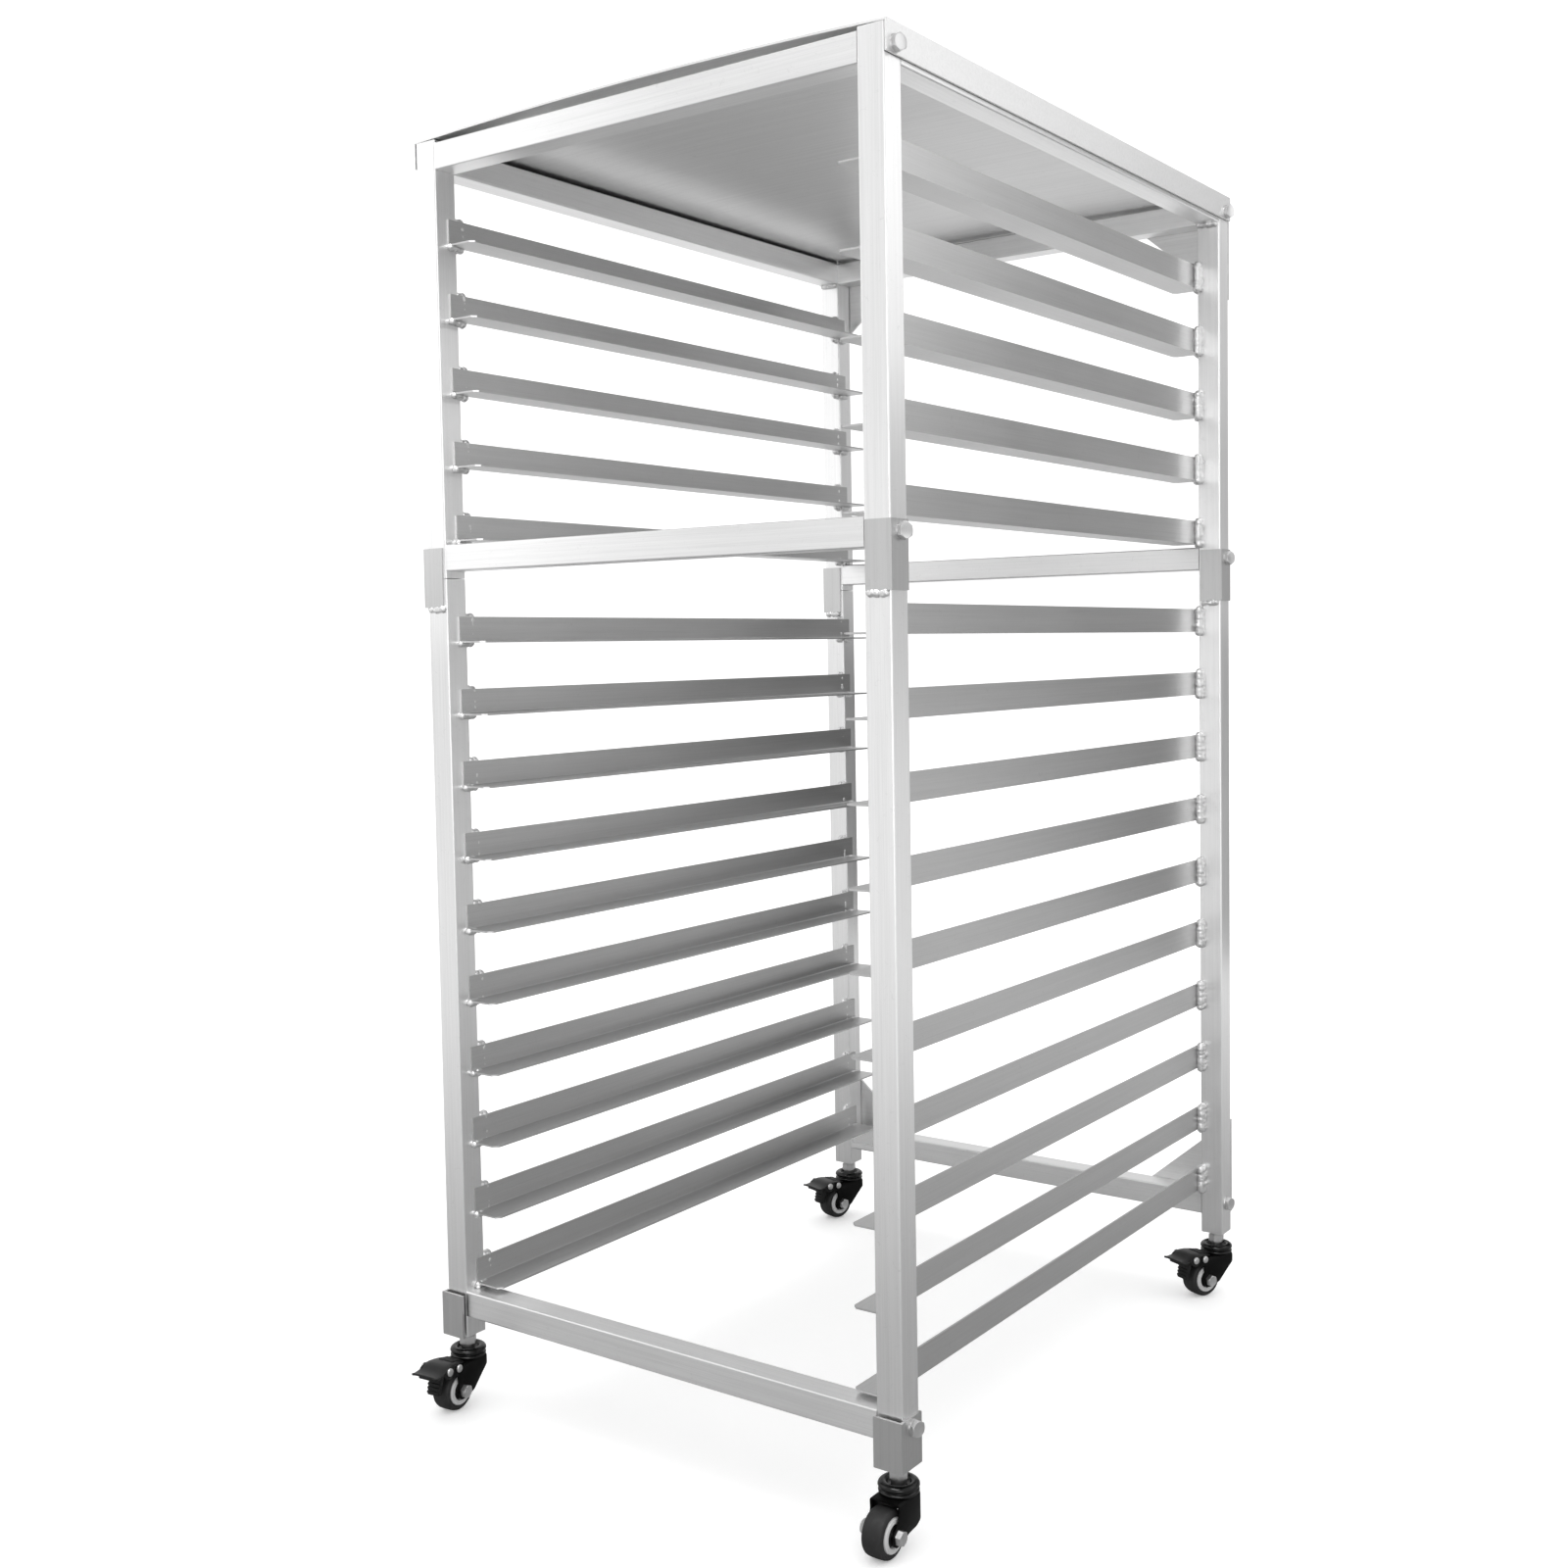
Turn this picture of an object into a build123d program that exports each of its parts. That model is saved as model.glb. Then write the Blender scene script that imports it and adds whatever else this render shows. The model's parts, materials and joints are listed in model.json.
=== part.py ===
"""Knock-down aluminium sheet pan rack on four swivel casters, in millimetres.

The rack stands on the floor at Z = 0 with its open front towards -Y. Pans slide in along +Y on
fifteen pairs of angle slides. A lower section of ten tiers and an upper section of five tiers
meet half way up, where splice angles and bolts hold them together.
"""
from build123d import *
from math import cos, radians, sin
import os

os.makedirs("parts", exist_ok=True)

# ---- Frame --------------------------------------------------------------------------------
TUBE = 25.0                 # outside of every square tube
WALL = 1.5
TUBE_CORNER = 1.6           # outside corner radius of the tube
WIDTH = 523.0               # over the outer faces of the posts, along X
DEPTH = 694.0               # over the outer faces of the posts, along Y
POST_BOTTOM = 68.0
LOWER_POST = 733.0
JOINT_GAP = 0.6
POST_TOP = 1209.5
POST_X = WIDTH / 2 - TUBE / 2
POST_Y = DEPTH / 2 - TUBE / 2
INNER_X = WIDTH / 2 - TUBE  # inner face of the posts
INNER_Y = DEPTH / 2 - TUBE
JOINT_Z = POST_BOTTOM + LOWER_POST

BOTTOM_BAR_Z = POST_BOTTOM + 33.0     # centre heights of the cross bars
MIDDLE_BAR_Z = JOINT_Z + 19.5
TOP_BAR_Z = POST_TOP - 2.5 - TUBE / 2
BAR_LEVELS = {"bottom": BOTTOM_BAR_Z, "middle": MIDDLE_BAR_Z, "top": TOP_BAR_Z}

# ---- Pan slides ---------------------------------------------------------------------------
SLIDE_LEG = 25.0            # height of the upright flange
SLIDE_LEDGE = 32.0          # width of the ledge, over the flange
SLIDE_THICK = 1.6
SLIDE_LAP = 11.0            # how far a slide laps over a post, along Y
SLIDE_CORNER = 4.0
SLIDE_BEND = 1.2            # inside radius between the flange and the ledge
SLIDE_LENGTH = DEPTH - 2 * TUBE + 2 * SLIDE_LAP
TIER_PITCH = 69.25
LOWER_TIERS = 10
UPPER_TIERS = 5
BAR_TO_SLIDE = 3.5          # from the top of a cross bar to the slide above it

# ---- Plates and angles --------------------------------------------------------------------
COVER_THICK = 2.0
COVER_GAP = 0.8             # between the posts and the cover's side flanges
COVER_FLANGE = 25.0
COVER_CROWN_FRONT = 5.5
COVER_CROWN_REAR = 1.0
ANGLE_THICK = 2.5
ANGLE_LEG = 25.0
SPLICE_HEIGHT = 56.0
SPLICE_BELOW = 27.0         # of the splice angle's height, below the joint
FOOT_HEIGHT = 42.0
FOOT_STANDOFF = 3.0         # gap between the foot angle's front leg and the post
GUSSET_X = 124.0
GUSSET_Z = 105.0
GUSSET_THICK = 3.0

# ---- Bolts --------------------------------------------------------------------------------
BOLT_R = 4.0
BOLT_HOLE_R = 4.4
BOLT_HEAD_FLATS = 13.0
BOLT_HEAD_HEIGHT = 5.0
WASHER_R = 7.5
WASHER_THICK = 1.0
INSERT_LENGTH = 16.0
INSERT_HOLE_R = 4.05

# ---- Casters ------------------------------------------------------------------------------
WHEEL_R = 20.0
TREAD_WIDTH = 20.0
RIM_R = 14.4
RING_INNER_R = 9.6
HUB_R = 7.5
RIM_WIDTH = 22.4
TRAIL = 23.7                # from the swivel axis to the wheel's axle
AXLE_R = 3.0
AXLE_CLEARANCE = 0.06
NUT_FLATS = 11.0
NUT_HEIGHT = 5.0
FORK_GAP = 25.0
FORK_THICK = 2.0
FORK_TOP = 45.0
FORK_FRONT = 20.5           # reach of the top plate in front of and behind the swivel axis
FORK_REAR = 14.0
BACK_DROP = 9.0             # height of the fork's wall behind the swivel axis
EYE_R = 7.8                 # round of the cheek about the axle
CAP_R = 17.5
CAP_TOP = 55.0
CAP_RECESS_R = 9.6
CAP_RECESS_Z = 51.0
STEM_R = 4.8
STEM_CLEARANCE = 0.35
COLLAR_R = 7.2
COLLAR_BOTTOM = 64.0
COLLAR_FLATS = 14.6
HEX_BOTTOM = 56.0
NECK_R = 6.6
PIN_Z = 46.3
PEDAL_PIN = 45.3            # distance of the pedal's pin from the swivel axis
SPRING_PIN = 30.8
SPRING_PIN_Z = 44.6
PIN_R = 2.4
RIVET_R = 3.7
RIVET_HEAD = 2.0
EAR_R = 5.4
PEDAL_REACH = 64.0
PEDAL_LIP = 31.0            # width of the lip at the toe
PEDAL_PLATE = 24.0          # width of the plate between the ears
PEDAL_SHOE = 14.0
PEDAL_TRAVEL = 6.0          # degrees from off to locked

# Each caster: side in X, side in Y, how far it has swung from trailing straight to the front,
# and whether it has a brake.
CASTERS = {
    "front_left": (-1, -1, 5.9, True),
    "front_right": (1, -1, -0.1, False),
    "rear_right": (1, 1, -23.8, True),
    "rear_left": (-1, 1, -15.1, True),
}
CORNERS = {name: values[:2] for name, values in CASTERS.items()}


def block(x0, x1, y0, y1, z0, z1):
    """A box between two corners."""
    size = Box(abs(x1 - x0), abs(y1 - y0), abs(z1 - z0))
    return Pos((x0 + x1) / 2, (y0 + y1) / 2, (z0 + z1) / 2) * size


def rod_x(x0, x1, y, z, radius):
    """A round bar along X."""
    rod = Rot(0, 90, 0) * Cylinder(radius, abs(x1 - x0))
    return Pos((x0 + x1) / 2, y, z) * rod


def hex_x(x0, x1, y, z, flats):
    """A hexagonal bar along X."""
    hexagon = extrude(RegularPolygon(flats / 2, 6, major_radius=False), abs(x1 - x0) / 2, both=True)
    return Pos((x0 + x1) / 2, y, z) * Rot(0, 90, 0) * hexagon


def square_tube(length):
    """A square tube along Z, from Z = 0 up."""
    outside = RectangleRounded(TUBE, TUBE, TUBE_CORNER)
    bore = RectangleRounded(TUBE - 2 * WALL, TUBE - 2 * WALL, 0.4)
    return extrude(outside - bore, length)


def tier_levels():
    """The underside heights of the slides, from the top tier down."""
    lower = BOTTOM_BAR_Z + TUBE / 2 + BAR_TO_SLIDE
    upper = MIDDLE_BAR_Z + TUBE / 2 + BAR_TO_SLIDE
    levels = [lower + TIER_PITCH * i for i in range(LOWER_TIERS)]
    levels += [upper + TIER_PITCH * i for i in range(UPPER_TIERS)]
    return sorted(levels, reverse=True)


def post(side_x, side_y, z0, z1, bolt_levels):
    """One post tube with a bolt hole through both X walls at each level."""
    tube = Pos(side_x * POST_X, side_y * POST_Y, z0) * square_tube(z1 - z0)
    for z in bolt_levels:
        tube -= rod_x(side_x * (INNER_X - 1), side_x * (WIDTH / 2 + 1), side_y * POST_Y, z, BOLT_HOLE_R)
    return tube


def cross_bar(side_y, z):
    """A tube along X between the inner faces of two posts."""
    tube = Rot(0, 90, 0) * square_tube(2 * INNER_X)
    return Pos(-INNER_X, side_y * POST_Y, z) * tube


def top_side_tube(side_x):
    """A tube along Y between the front and rear posts, under the cover."""
    tube = Rot(-90, 0, 0) * square_tube(2 * INNER_Y)
    return Pos(side_x * POST_X, -INNER_Y, TOP_BAR_Z) * tube


def slide(side_x, z):
    """An angle slide: a vertical flange against the posts and a ledge for the pan's rim."""
    half = SLIDE_LENGTH / 2
    inner = INNER_X - SLIDE_LEDGE
    flange = block(side_x * (INNER_X - SLIDE_THICK), side_x * INNER_X, -half, half, z, z + SLIDE_LEG)
    outline = [
        (side_x * INNER_X, -half),
        (side_x * (inner + SLIDE_CORNER), -half),
        (side_x * inner, -half + SLIDE_CORNER),
        (side_x * inner, half - SLIDE_CORNER),
        (side_x * (inner + SLIDE_CORNER), half),
        (side_x * INNER_X, half),
    ]
    ledge = extrude(make_face(Polyline(*outline, close=True)), SLIDE_THICK, dir=(0, 0, 1))
    angle = flange + Pos(0, 0, z) * ledge
    root = (side_x * (INNER_X - SLIDE_THICK), 0, z + SLIDE_THICK)
    bend = angle.edges().filter_by(Axis.Y).sort_by_distance(root)[0]
    return fillet(bend, SLIDE_BEND)


def bent_angle(side_x, side_y, x_leg, y_leg, standoff, z0, height):
    """An angle round a post's outer corner. Its y_leg lies on the X face, its x_leg on the front face.

    The front leg stands off the post by standoff, and side_y picks the front or rear post.
    """
    face_x = WIDTH / 2
    face_y = side_y * POST_Y - TUBE / 2
    front = face_y - standoff - ANGLE_THICK
    outer = face_x + ANGLE_THICK
    outline = [
        (side_x * outer, front),
        (side_x * (outer - x_leg), front),
        (side_x * (outer - x_leg), front + ANGLE_THICK),
        (side_x * face_x, front + ANGLE_THICK),
        (side_x * face_x, front + y_leg),
        (side_x * outer, front + y_leg),
    ]
    profile = make_face(Polyline(*outline, close=True))
    return Pos(0, 0, z0) * extrude(profile, height, dir=(0, 0, 1))


def splice_angle(side_x, side_y):
    """Joins an upper post to a lower one. It is welded to the lower post and bolted to the upper."""
    angle = bent_angle(side_x, side_y, ANGLE_LEG, ANGLE_LEG, 0, JOINT_Z - SPLICE_BELOW, SPLICE_HEIGHT)
    hole = rod_x(side_x * INNER_X, side_x * (WIDTH / 2 + 9), side_y * POST_Y, MIDDLE_BAR_Z, BOLT_HOLE_R)
    return angle - hole


def foot_angle(side_x):
    """Stiffens a front post where the bottom bar is bolted to it."""
    x_leg = TUBE + ANGLE_THICK
    y_leg = TUBE + FOOT_STANDOFF + ANGLE_THICK
    angle = bent_angle(side_x, -1, x_leg, y_leg, FOOT_STANDOFF, POST_BOTTOM, FOOT_HEIGHT)
    hole = rod_x(side_x * INNER_X, side_x * (WIDTH / 2 + 9), -POST_Y, BOTTOM_BAR_Z, BOLT_HOLE_R)
    return angle - hole


def gusset(side_x, up):
    """A triangular plate on the rear frame. up is 1 at the bottom corners, -1 at the top ones."""
    z = BOTTOM_BAR_Z - TUBE / 2 if up > 0 else TOP_BAR_Z + TUBE / 2
    outer = side_x * WIDTH / 2
    corners = [(outer, z), (outer - side_x * GUSSET_X, z), (outer, z + up * GUSSET_Z)]
    plate = make_face(Polyline(*corners, close=True))
    solid = extrude(Plane.XZ * plate, GUSSET_THICK, dir=(0, 1, 0))
    return Pos(0, DEPTH / 2, 0) * solid


def cover_section(crown):
    """The cover's cross-section: a gently arched sheet of even thickness."""
    half = WIDTH / 2 + COVER_GAP + COVER_THICK
    lower = ThreePointArc((-half, POST_TOP), (0, POST_TOP + crown), (half, POST_TOP))
    right = Line((half, POST_TOP), (half, POST_TOP + COVER_THICK))
    top = POST_TOP + COVER_THICK
    upper = ThreePointArc((half, top), (0, top + crown), (-half, top))
    left = Line((-half, top), (-half, POST_TOP))
    return make_face(lower + right + upper + left)


def top_cover():
    """A sheet over the rack, crowned more at the front, with a flange down each side."""
    front_plane = Plane(origin=(0, -DEPTH / 2, 0), x_dir=(1, 0, 0), z_dir=(0, -1, 0))
    rear_plane = Plane(origin=(0, DEPTH / 2, 0), x_dir=(1, 0, 0), z_dir=(0, -1, 0))
    front = front_plane * cover_section(COVER_CROWN_FRONT)
    rear = rear_plane * cover_section(COVER_CROWN_REAR)
    cover = loft([front, rear])
    inner = WIDTH / 2 + COVER_GAP
    bottom = POST_TOP + COVER_THICK - COVER_FLANGE
    for side_x in (-1, 1):
        outer = side_x * (inner + COVER_THICK)
        cover += block(side_x * inner, outer, -DEPTH / 2, DEPTH / 2, bottom, POST_TOP + COVER_THICK / 2)
        for side_y in (-1, 1):
            start = side_x * (inner - 1)
            cover -= rod_x(start, outer + side_x, side_y * POST_Y, TOP_BAR_Z, BOLT_HOLE_R)
    return cover


def bolt_seat(side_y, level):
    """X of the face that a bolt's washer bears on."""
    if level == "top":
        return WIDTH / 2 + COVER_GAP + COVER_THICK
    if level == "bottom" and side_y > 0:
        return WIDTH / 2
    return WIDTH / 2 + ANGLE_THICK


def bolt(side_x, side_y, level):
    """A hex bolt through a post into the end of a cross bar."""
    z = BAR_LEVELS[level]
    y = side_y * POST_Y
    seat = bolt_seat(side_y, level) + WASHER_THICK
    head = hex_x(side_x * seat, side_x * (seat + BOLT_HEAD_HEIGHT), y, z, BOLT_HEAD_FLATS)
    shank = rod_x(side_x * seat, side_x * (INNER_X - INSERT_LENGTH + 2), y, z, BOLT_R)
    return head + shank


def washer(side_x, side_y, level):
    seat = bolt_seat(side_y, level)
    z = BAR_LEVELS[level]
    y = side_y * POST_Y
    ring = rod_x(side_x * seat, side_x * (seat + WASHER_THICK), y, z, WASHER_R)
    return ring - rod_x(side_x * (seat - 1), side_x * (seat + 3), y, z, BOLT_HOLE_R)


def bar_insert(side_x, side_y, level):
    """A threaded plug pressed into the end of a cross bar."""
    z = BAR_LEVELS[level]
    y = side_y * POST_Y
    half = TUBE / 2 - WALL
    plug = block(side_x * INNER_X, side_x * (INNER_X - INSERT_LENGTH), y - half, y + half, z - half, z + half)
    plug = fillet(plug.edges().filter_by(Axis.X), 0.4)
    return plug - rod_x(side_x * (INNER_X + 1), side_x * (INNER_X - INSERT_LENGTH - 1), y, z, INSERT_HOLE_R)


def stem_plug():
    """The plug in the foot of a post that takes a caster's stem."""
    half = TUBE / 2 - WALL
    plug = block(-half, half, -half, half, POST_BOTTOM, POST_BOTTOM + 22)
    plug = fillet(plug.edges().filter_by(Axis.Z), 0.4)
    return plug - Pos(0, 0, POST_BOTTOM + 11) * Cylinder(STEM_R + 0.05, 24)


def caster_stem():
    """Stem, collar and hexagon under the post, and the riveted end that holds the fork."""
    foot = FORK_TOP - FORK_THICK - 2.4
    top = POST_BOTTOM + 20
    shaft = Pos(0, 0, (foot + top) / 2) * Cylinder(STEM_R, top - foot)
    collar = Pos(0, 0, (COLLAR_BOTTOM + POST_BOTTOM) / 2) * Cylinder(COLLAR_R, POST_BOTTOM - COLLAR_BOTTOM)
    flats = RegularPolygon(COLLAR_FLATS / 2, 6, major_radius=False)
    nut = Pos(0, 0, HEX_BOTTOM) * extrude(flats, COLLAR_BOTTOM - HEX_BOTTOM)
    low = CAP_RECESS_Z + 0.5
    neck = Pos(0, 0, (low + HEX_BOTTOM) / 2) * Cylinder(NECK_R, HEX_BOTTOM - low)
    head = Pos(0, 0, foot + 0.9) * Cylinder(7.5, 1.8)
    return shaft + collar + nut + neck + head


def fork_cheek(brake):
    """Outline of one fork cheek, drawn with local X as Y and local Y as Z, trailing towards -Y."""
    axle_eye = Pos(-TRAIL, WHEEL_R) * Circle(EYE_R)
    middle = (FORK_REAR - FORK_FRONT) / 2
    shoulder = Pos(middle, FORK_TOP - BACK_DROP / 2) * Rectangle(FORK_FRONT + FORK_REAR, BACK_DROP)
    leg = make_hull(axle_eye.edges() + shoulder.edges())
    if not brake:
        return leg
    ear = Pos(-PEDAL_PIN, PIN_Z) * Circle(EAR_R)
    root = Pos(-FORK_FRONT - 8, PIN_Z - 3.5) * Rectangle(6, 10)
    neck = Pos(-FORK_FRONT - 2, PIN_Z - 6) * Rectangle(12, 8)
    return leg + make_hull(ear.edges() + root.edges()) + neck


def swivel_cap():
    """The two pressed rings that hold the balls, with a recess for the stem's hexagon."""
    profile = [
        (0, FORK_TOP),
        (CAP_R - 1.4, FORK_TOP),
        (CAP_R - 0.6, FORK_TOP + 0.8),
        (CAP_R - 0.6, FORK_TOP + 2.6),
        (CAP_R - 1.8, FORK_TOP + 3.6),
        (CAP_R - 1.8, FORK_TOP + 4.2),
        (CAP_R - 0.4, FORK_TOP + 4.8),
        (CAP_R, FORK_TOP + 5.8),
        (CAP_R - 0.4, FORK_TOP + 7.2),
        (CAP_R - 2.2, CAP_TOP - 0.9),
        (CAP_R - 4.6, CAP_TOP),
        (CAP_RECESS_R + 0.6, CAP_TOP),
        (CAP_RECESS_R, CAP_TOP - 0.6),
        (CAP_RECESS_R, CAP_RECESS_Z),
        (0, CAP_RECESS_Z),
    ]
    return revolve(Plane.XZ * make_face(Polyline(*profile, close=True)), Axis.Z)


def fork(brake):
    """Swivel cap, top plate and two cheeks. With a brake it also carries the two brake pins."""
    inner = FORK_GAP / 2
    outer = inner + FORK_THICK
    body = swivel_cap() + block(-outer, outer, -FORK_FRONT, FORK_REAR, FORK_TOP - FORK_THICK, FORK_TOP)
    body += block(-outer, outer, FORK_REAR - FORK_THICK, FORK_REAR, FORK_TOP - BACK_DROP, FORK_TOP)
    for side in (-1, 1):
        cheek = extrude(Plane.YZ * fork_cheek(brake), FORK_THICK, dir=(1, 0, 0))
        cheek = Pos(inner if side > 0 else -outer, 0, 0) * cheek
        cheek -= rod_x(side * (inner - 1), side * (outer + 1), -TRAIL, WHEEL_R, AXLE_R + 0.05)
        body += cheek
    body -= Pos(0, 0, FORK_TOP + 5) * Cylinder(STEM_R + STEM_CLEARANCE, 40)
    if brake:
        for reach, z in ((PEDAL_PIN, PIN_Z), (SPRING_PIN, SPRING_PIN_Z)):
            body += rod_x(-outer, outer, -reach, z, PIN_R)
            for side in (-1, 1):
                body += rod_x(side * outer, side * (outer + RIVET_HEAD), -reach, z, RIVET_R)
    return body


def axle():
    """The axle bolt with a hexagon head and nut outside the cheeks."""
    outer = FORK_GAP / 2 + FORK_THICK
    pin = rod_x(-outer - 1, outer + 1, -TRAIL, WHEEL_R, AXLE_R)
    for side in (-1, 1):
        pin += hex_x(side * outer, side * (outer + NUT_HEIGHT), -TRAIL, WHEEL_R, NUT_FLATS)
    return pin


def turned(profile):
    """A solid of revolution about the axle line from points (along the axle, radius)."""
    solid = revolve(make_face(Polyline(*profile, close=True)), Axis.X)
    return Pos(0, -TRAIL, WHEEL_R) * solid


def tread():
    half = TREAD_WIDTH / 2
    crown = ThreePointArc((-half + 3, WHEEL_R - 0.6), (0, WHEEL_R), (half - 3, WHEEL_R - 0.6))
    right = ThreePointArc((half - 3, WHEEL_R - 0.6), (half - 0.8, WHEEL_R - 1.6), (half, WHEEL_R - 3.6))
    left = ThreePointArc((-half, WHEEL_R - 3.6), (-half + 0.8, WHEEL_R - 1.6), (-half + 3, WHEEL_R - 0.6))
    sides = Polyline((half, WHEEL_R - 3.6), (half, RIM_R), (-half, RIM_R), (-half, WHEEL_R - 3.6))
    return Pos(0, -TRAIL, WHEEL_R) * revolve(make_face(crown + right + sides + left), Axis.X)


def rim():
    """The wheel's centre: a proud ring each side, a recessed web and a hub."""
    half = RIM_WIDTH / 2
    bore = AXLE_R + AXLE_CLEARANCE
    right = [(half, RIM_R - 0.6), (half, RING_INNER_R), (half - 3, RING_INNER_R - 0.8)]
    right += [(half - 3, HUB_R), (half - 0.4, HUB_R - 0.5), (half - 0.4, bore)]
    left = [(-x, r) for x, r in reversed(right)]
    return turned([(-half + 1, RIM_R), (half - 1, RIM_R)] + right + left)


def brake_pedal():
    """A pressed pedal: plate between the ears, lip at the toe, lug on the pin and shoe before the tyre."""
    plate = [(-18.8, 47.6), (-18.8, 49.4), (-38, 51.4), (-50, 51.2), (-53.5, 48.6), (-55, 48.6), (-55, 46.6)]
    plate += [(-52.5, 46.6), (-49, 49.2), (-38, 49.4)]
    lip = [(-53, 46.4), (-53, 48.4), (-61.5, 47.4), (-PEDAL_REACH, 47.8), (-PEDAL_REACH, 46), (-61.5, 45.4)]
    stop = [(-54, 47), (-60, 46.6), (-60, 42.2), (-56.5, 41.6), (-54, 43)]
    lug = [(-40, 49.8), (-51, 49.8), (-51, 44), (-51.4, 24), (-50, 22)]
    lug += [(-47.2, 22), (-47, 30), (-44.5, 37), (-40, 41.5)]
    pedal = None
    for outline, width in ((plate, PEDAL_PLATE), (lip, PEDAL_LIP), (stop, 12.0), (lug, PEDAL_SHOE)):
        piece = extrude(Plane.YZ * make_face(Polyline(*outline, close=True)), width / 2, both=True)
        pedal = piece if pedal is None else pedal + piece
    return pedal - rod_x(-PEDAL_LIP, PEDAL_LIP, -PEDAL_PIN, PIN_Z, PIN_R + 0.08)


def place(shape, corner):
    """Turn a caster piece to its rest heading and move it under its post."""
    side_x, side_y, heading, _ = CASTERS[corner]
    return Pos(side_x * POST_X, side_y * POST_Y, 0) * Rot(0, 0, heading) * shape


def build():
    """Every node by name, in the rack's own centred frame."""
    nodes = {}
    for name, (sx, sy) in CORNERS.items():
        nodes["lower_post_" + name] = post(sx, sy, POST_BOTTOM, JOINT_Z, [BOTTOM_BAR_Z])
        levels = [MIDDLE_BAR_Z, TOP_BAR_Z]
        nodes["upper_post_" + name] = post(sx, sy, JOINT_Z + JOINT_GAP, POST_TOP, levels)
    for level, z in BAR_LEVELS.items():
        nodes["front_" + level + "_bar"] = cross_bar(-1, z)
        nodes["rear_" + level + "_bar"] = cross_bar(1, z)
    nodes["top_side_tube_left"] = top_side_tube(-1)
    nodes["top_side_tube_right"] = top_side_tube(1)
    nodes["top_cover"] = top_cover()
    nodes["splice_angles"] = Compound([splice_angle(sx, sy) for sx, sy in CORNERS.values()])
    nodes["front_foot_angles"] = Compound([foot_angle(-1), foot_angle(1)])
    nodes["rear_gussets"] = Compound([gusset(sx, up) for sx in (-1, 1) for up in (1, -1)])
    for number, z in enumerate(tier_levels(), 1):
        nodes[f"pan_slides_tier_{number:02d}"] = Compound([slide(-1, z), slide(1, z)])
    seats = [(sx, sy, level) for sx, sy in CORNERS.values() for level in BAR_LEVELS]
    nodes["frame_bolts"] = Compound([bolt(*seat) for seat in seats])
    nodes["frame_washers"] = Compound([washer(*seat) for seat in seats])
    nodes["bar_end_inserts"] = Compound([bar_insert(*seat) for seat in seats])
    plugs = [place(Rot(0, 0, -CASTERS[c][2]) * stem_plug(), c) for c in CASTERS]
    nodes["caster_stem_plugs"] = Compound(plugs)
    nodes["caster_stems"] = Compound([place(caster_stem(), c) for c in CASTERS])
    for corner, (_, _, _, brake) in CASTERS.items():
        nodes["caster_fork_" + corner] = place(fork(brake), corner)
        nodes["caster_axle_" + corner] = place(axle(), corner)
        nodes["caster_rim_" + corner] = place(rim(), corner)
        nodes["caster_tread_" + corner] = place(tread(), corner)
        if brake:
            nodes["brake_pedal_" + corner] = place(brake_pedal(), corner)
    return nodes


def footprint_shift(nodes):
    """The move that puts the origin in the middle of the whole object's footprint."""
    boxes = [shape.bounding_box() for shape in nodes.values()]
    x = (min(b.min.X for b in boxes) + max(b.max.X for b in boxes)) / 2
    y = (min(b.min.Y for b in boxes) + max(b.max.Y for b in boxes)) / 2
    return -x, -y


NODES = build()
SHIFT_X, SHIFT_Y = footprint_shift(NODES)
for name, shape in NODES.items():
    export_step(Pos(SHIFT_X, SHIFT_Y, 0) * shape, "parts/" + name + ".step")
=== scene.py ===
"""Looks for the sheet pan rack, in metres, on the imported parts' own frame."""
import json
import math

import bmesh
import bpy
from mathutils import Matrix, Vector


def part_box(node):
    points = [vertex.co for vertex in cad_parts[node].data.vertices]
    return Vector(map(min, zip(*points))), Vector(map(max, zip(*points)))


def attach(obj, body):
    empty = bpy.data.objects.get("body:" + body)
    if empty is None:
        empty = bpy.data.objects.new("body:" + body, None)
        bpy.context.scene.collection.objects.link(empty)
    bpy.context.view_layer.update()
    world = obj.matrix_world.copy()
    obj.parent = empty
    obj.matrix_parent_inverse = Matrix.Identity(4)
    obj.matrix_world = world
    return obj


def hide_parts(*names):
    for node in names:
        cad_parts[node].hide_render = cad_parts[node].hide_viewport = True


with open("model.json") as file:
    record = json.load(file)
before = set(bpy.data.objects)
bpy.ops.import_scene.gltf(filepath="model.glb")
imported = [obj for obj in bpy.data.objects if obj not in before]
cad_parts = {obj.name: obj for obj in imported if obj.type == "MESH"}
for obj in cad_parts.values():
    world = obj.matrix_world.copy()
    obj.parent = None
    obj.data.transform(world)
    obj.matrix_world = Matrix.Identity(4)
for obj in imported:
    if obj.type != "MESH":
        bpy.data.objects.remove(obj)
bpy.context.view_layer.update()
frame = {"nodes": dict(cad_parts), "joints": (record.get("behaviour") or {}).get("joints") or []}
NODES = frame["nodes"]
MM = 0.001


# ---- Shader pieces ------------------------------------------------------------------------

def add_node(tree, kind, **settings):
    """A node with its plain settings and the default values of its inputs, by name."""
    node = tree.nodes.new(kind)
    for key, value in settings.items():
        if key in node.inputs:
            node.inputs[key].default_value = value
        else:
            setattr(node, key, value)
    return node


def group_tree(name, inputs, outputs):
    """An empty shader node group with named sockets, and its two end nodes."""
    tree = bpy.data.node_groups.new(name, "ShaderNodeTree")
    for label, kind, value in inputs:
        socket = tree.interface.new_socket(label, in_out="INPUT", socket_type=kind)
        if value is not None:
            socket.default_value = value
    for label, kind in outputs:
        tree.interface.new_socket(label, in_out="OUTPUT", socket_type=kind)
    return tree, tree.nodes.new("NodeGroupInput"), tree.nodes.new("NodeGroupOutput")


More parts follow.
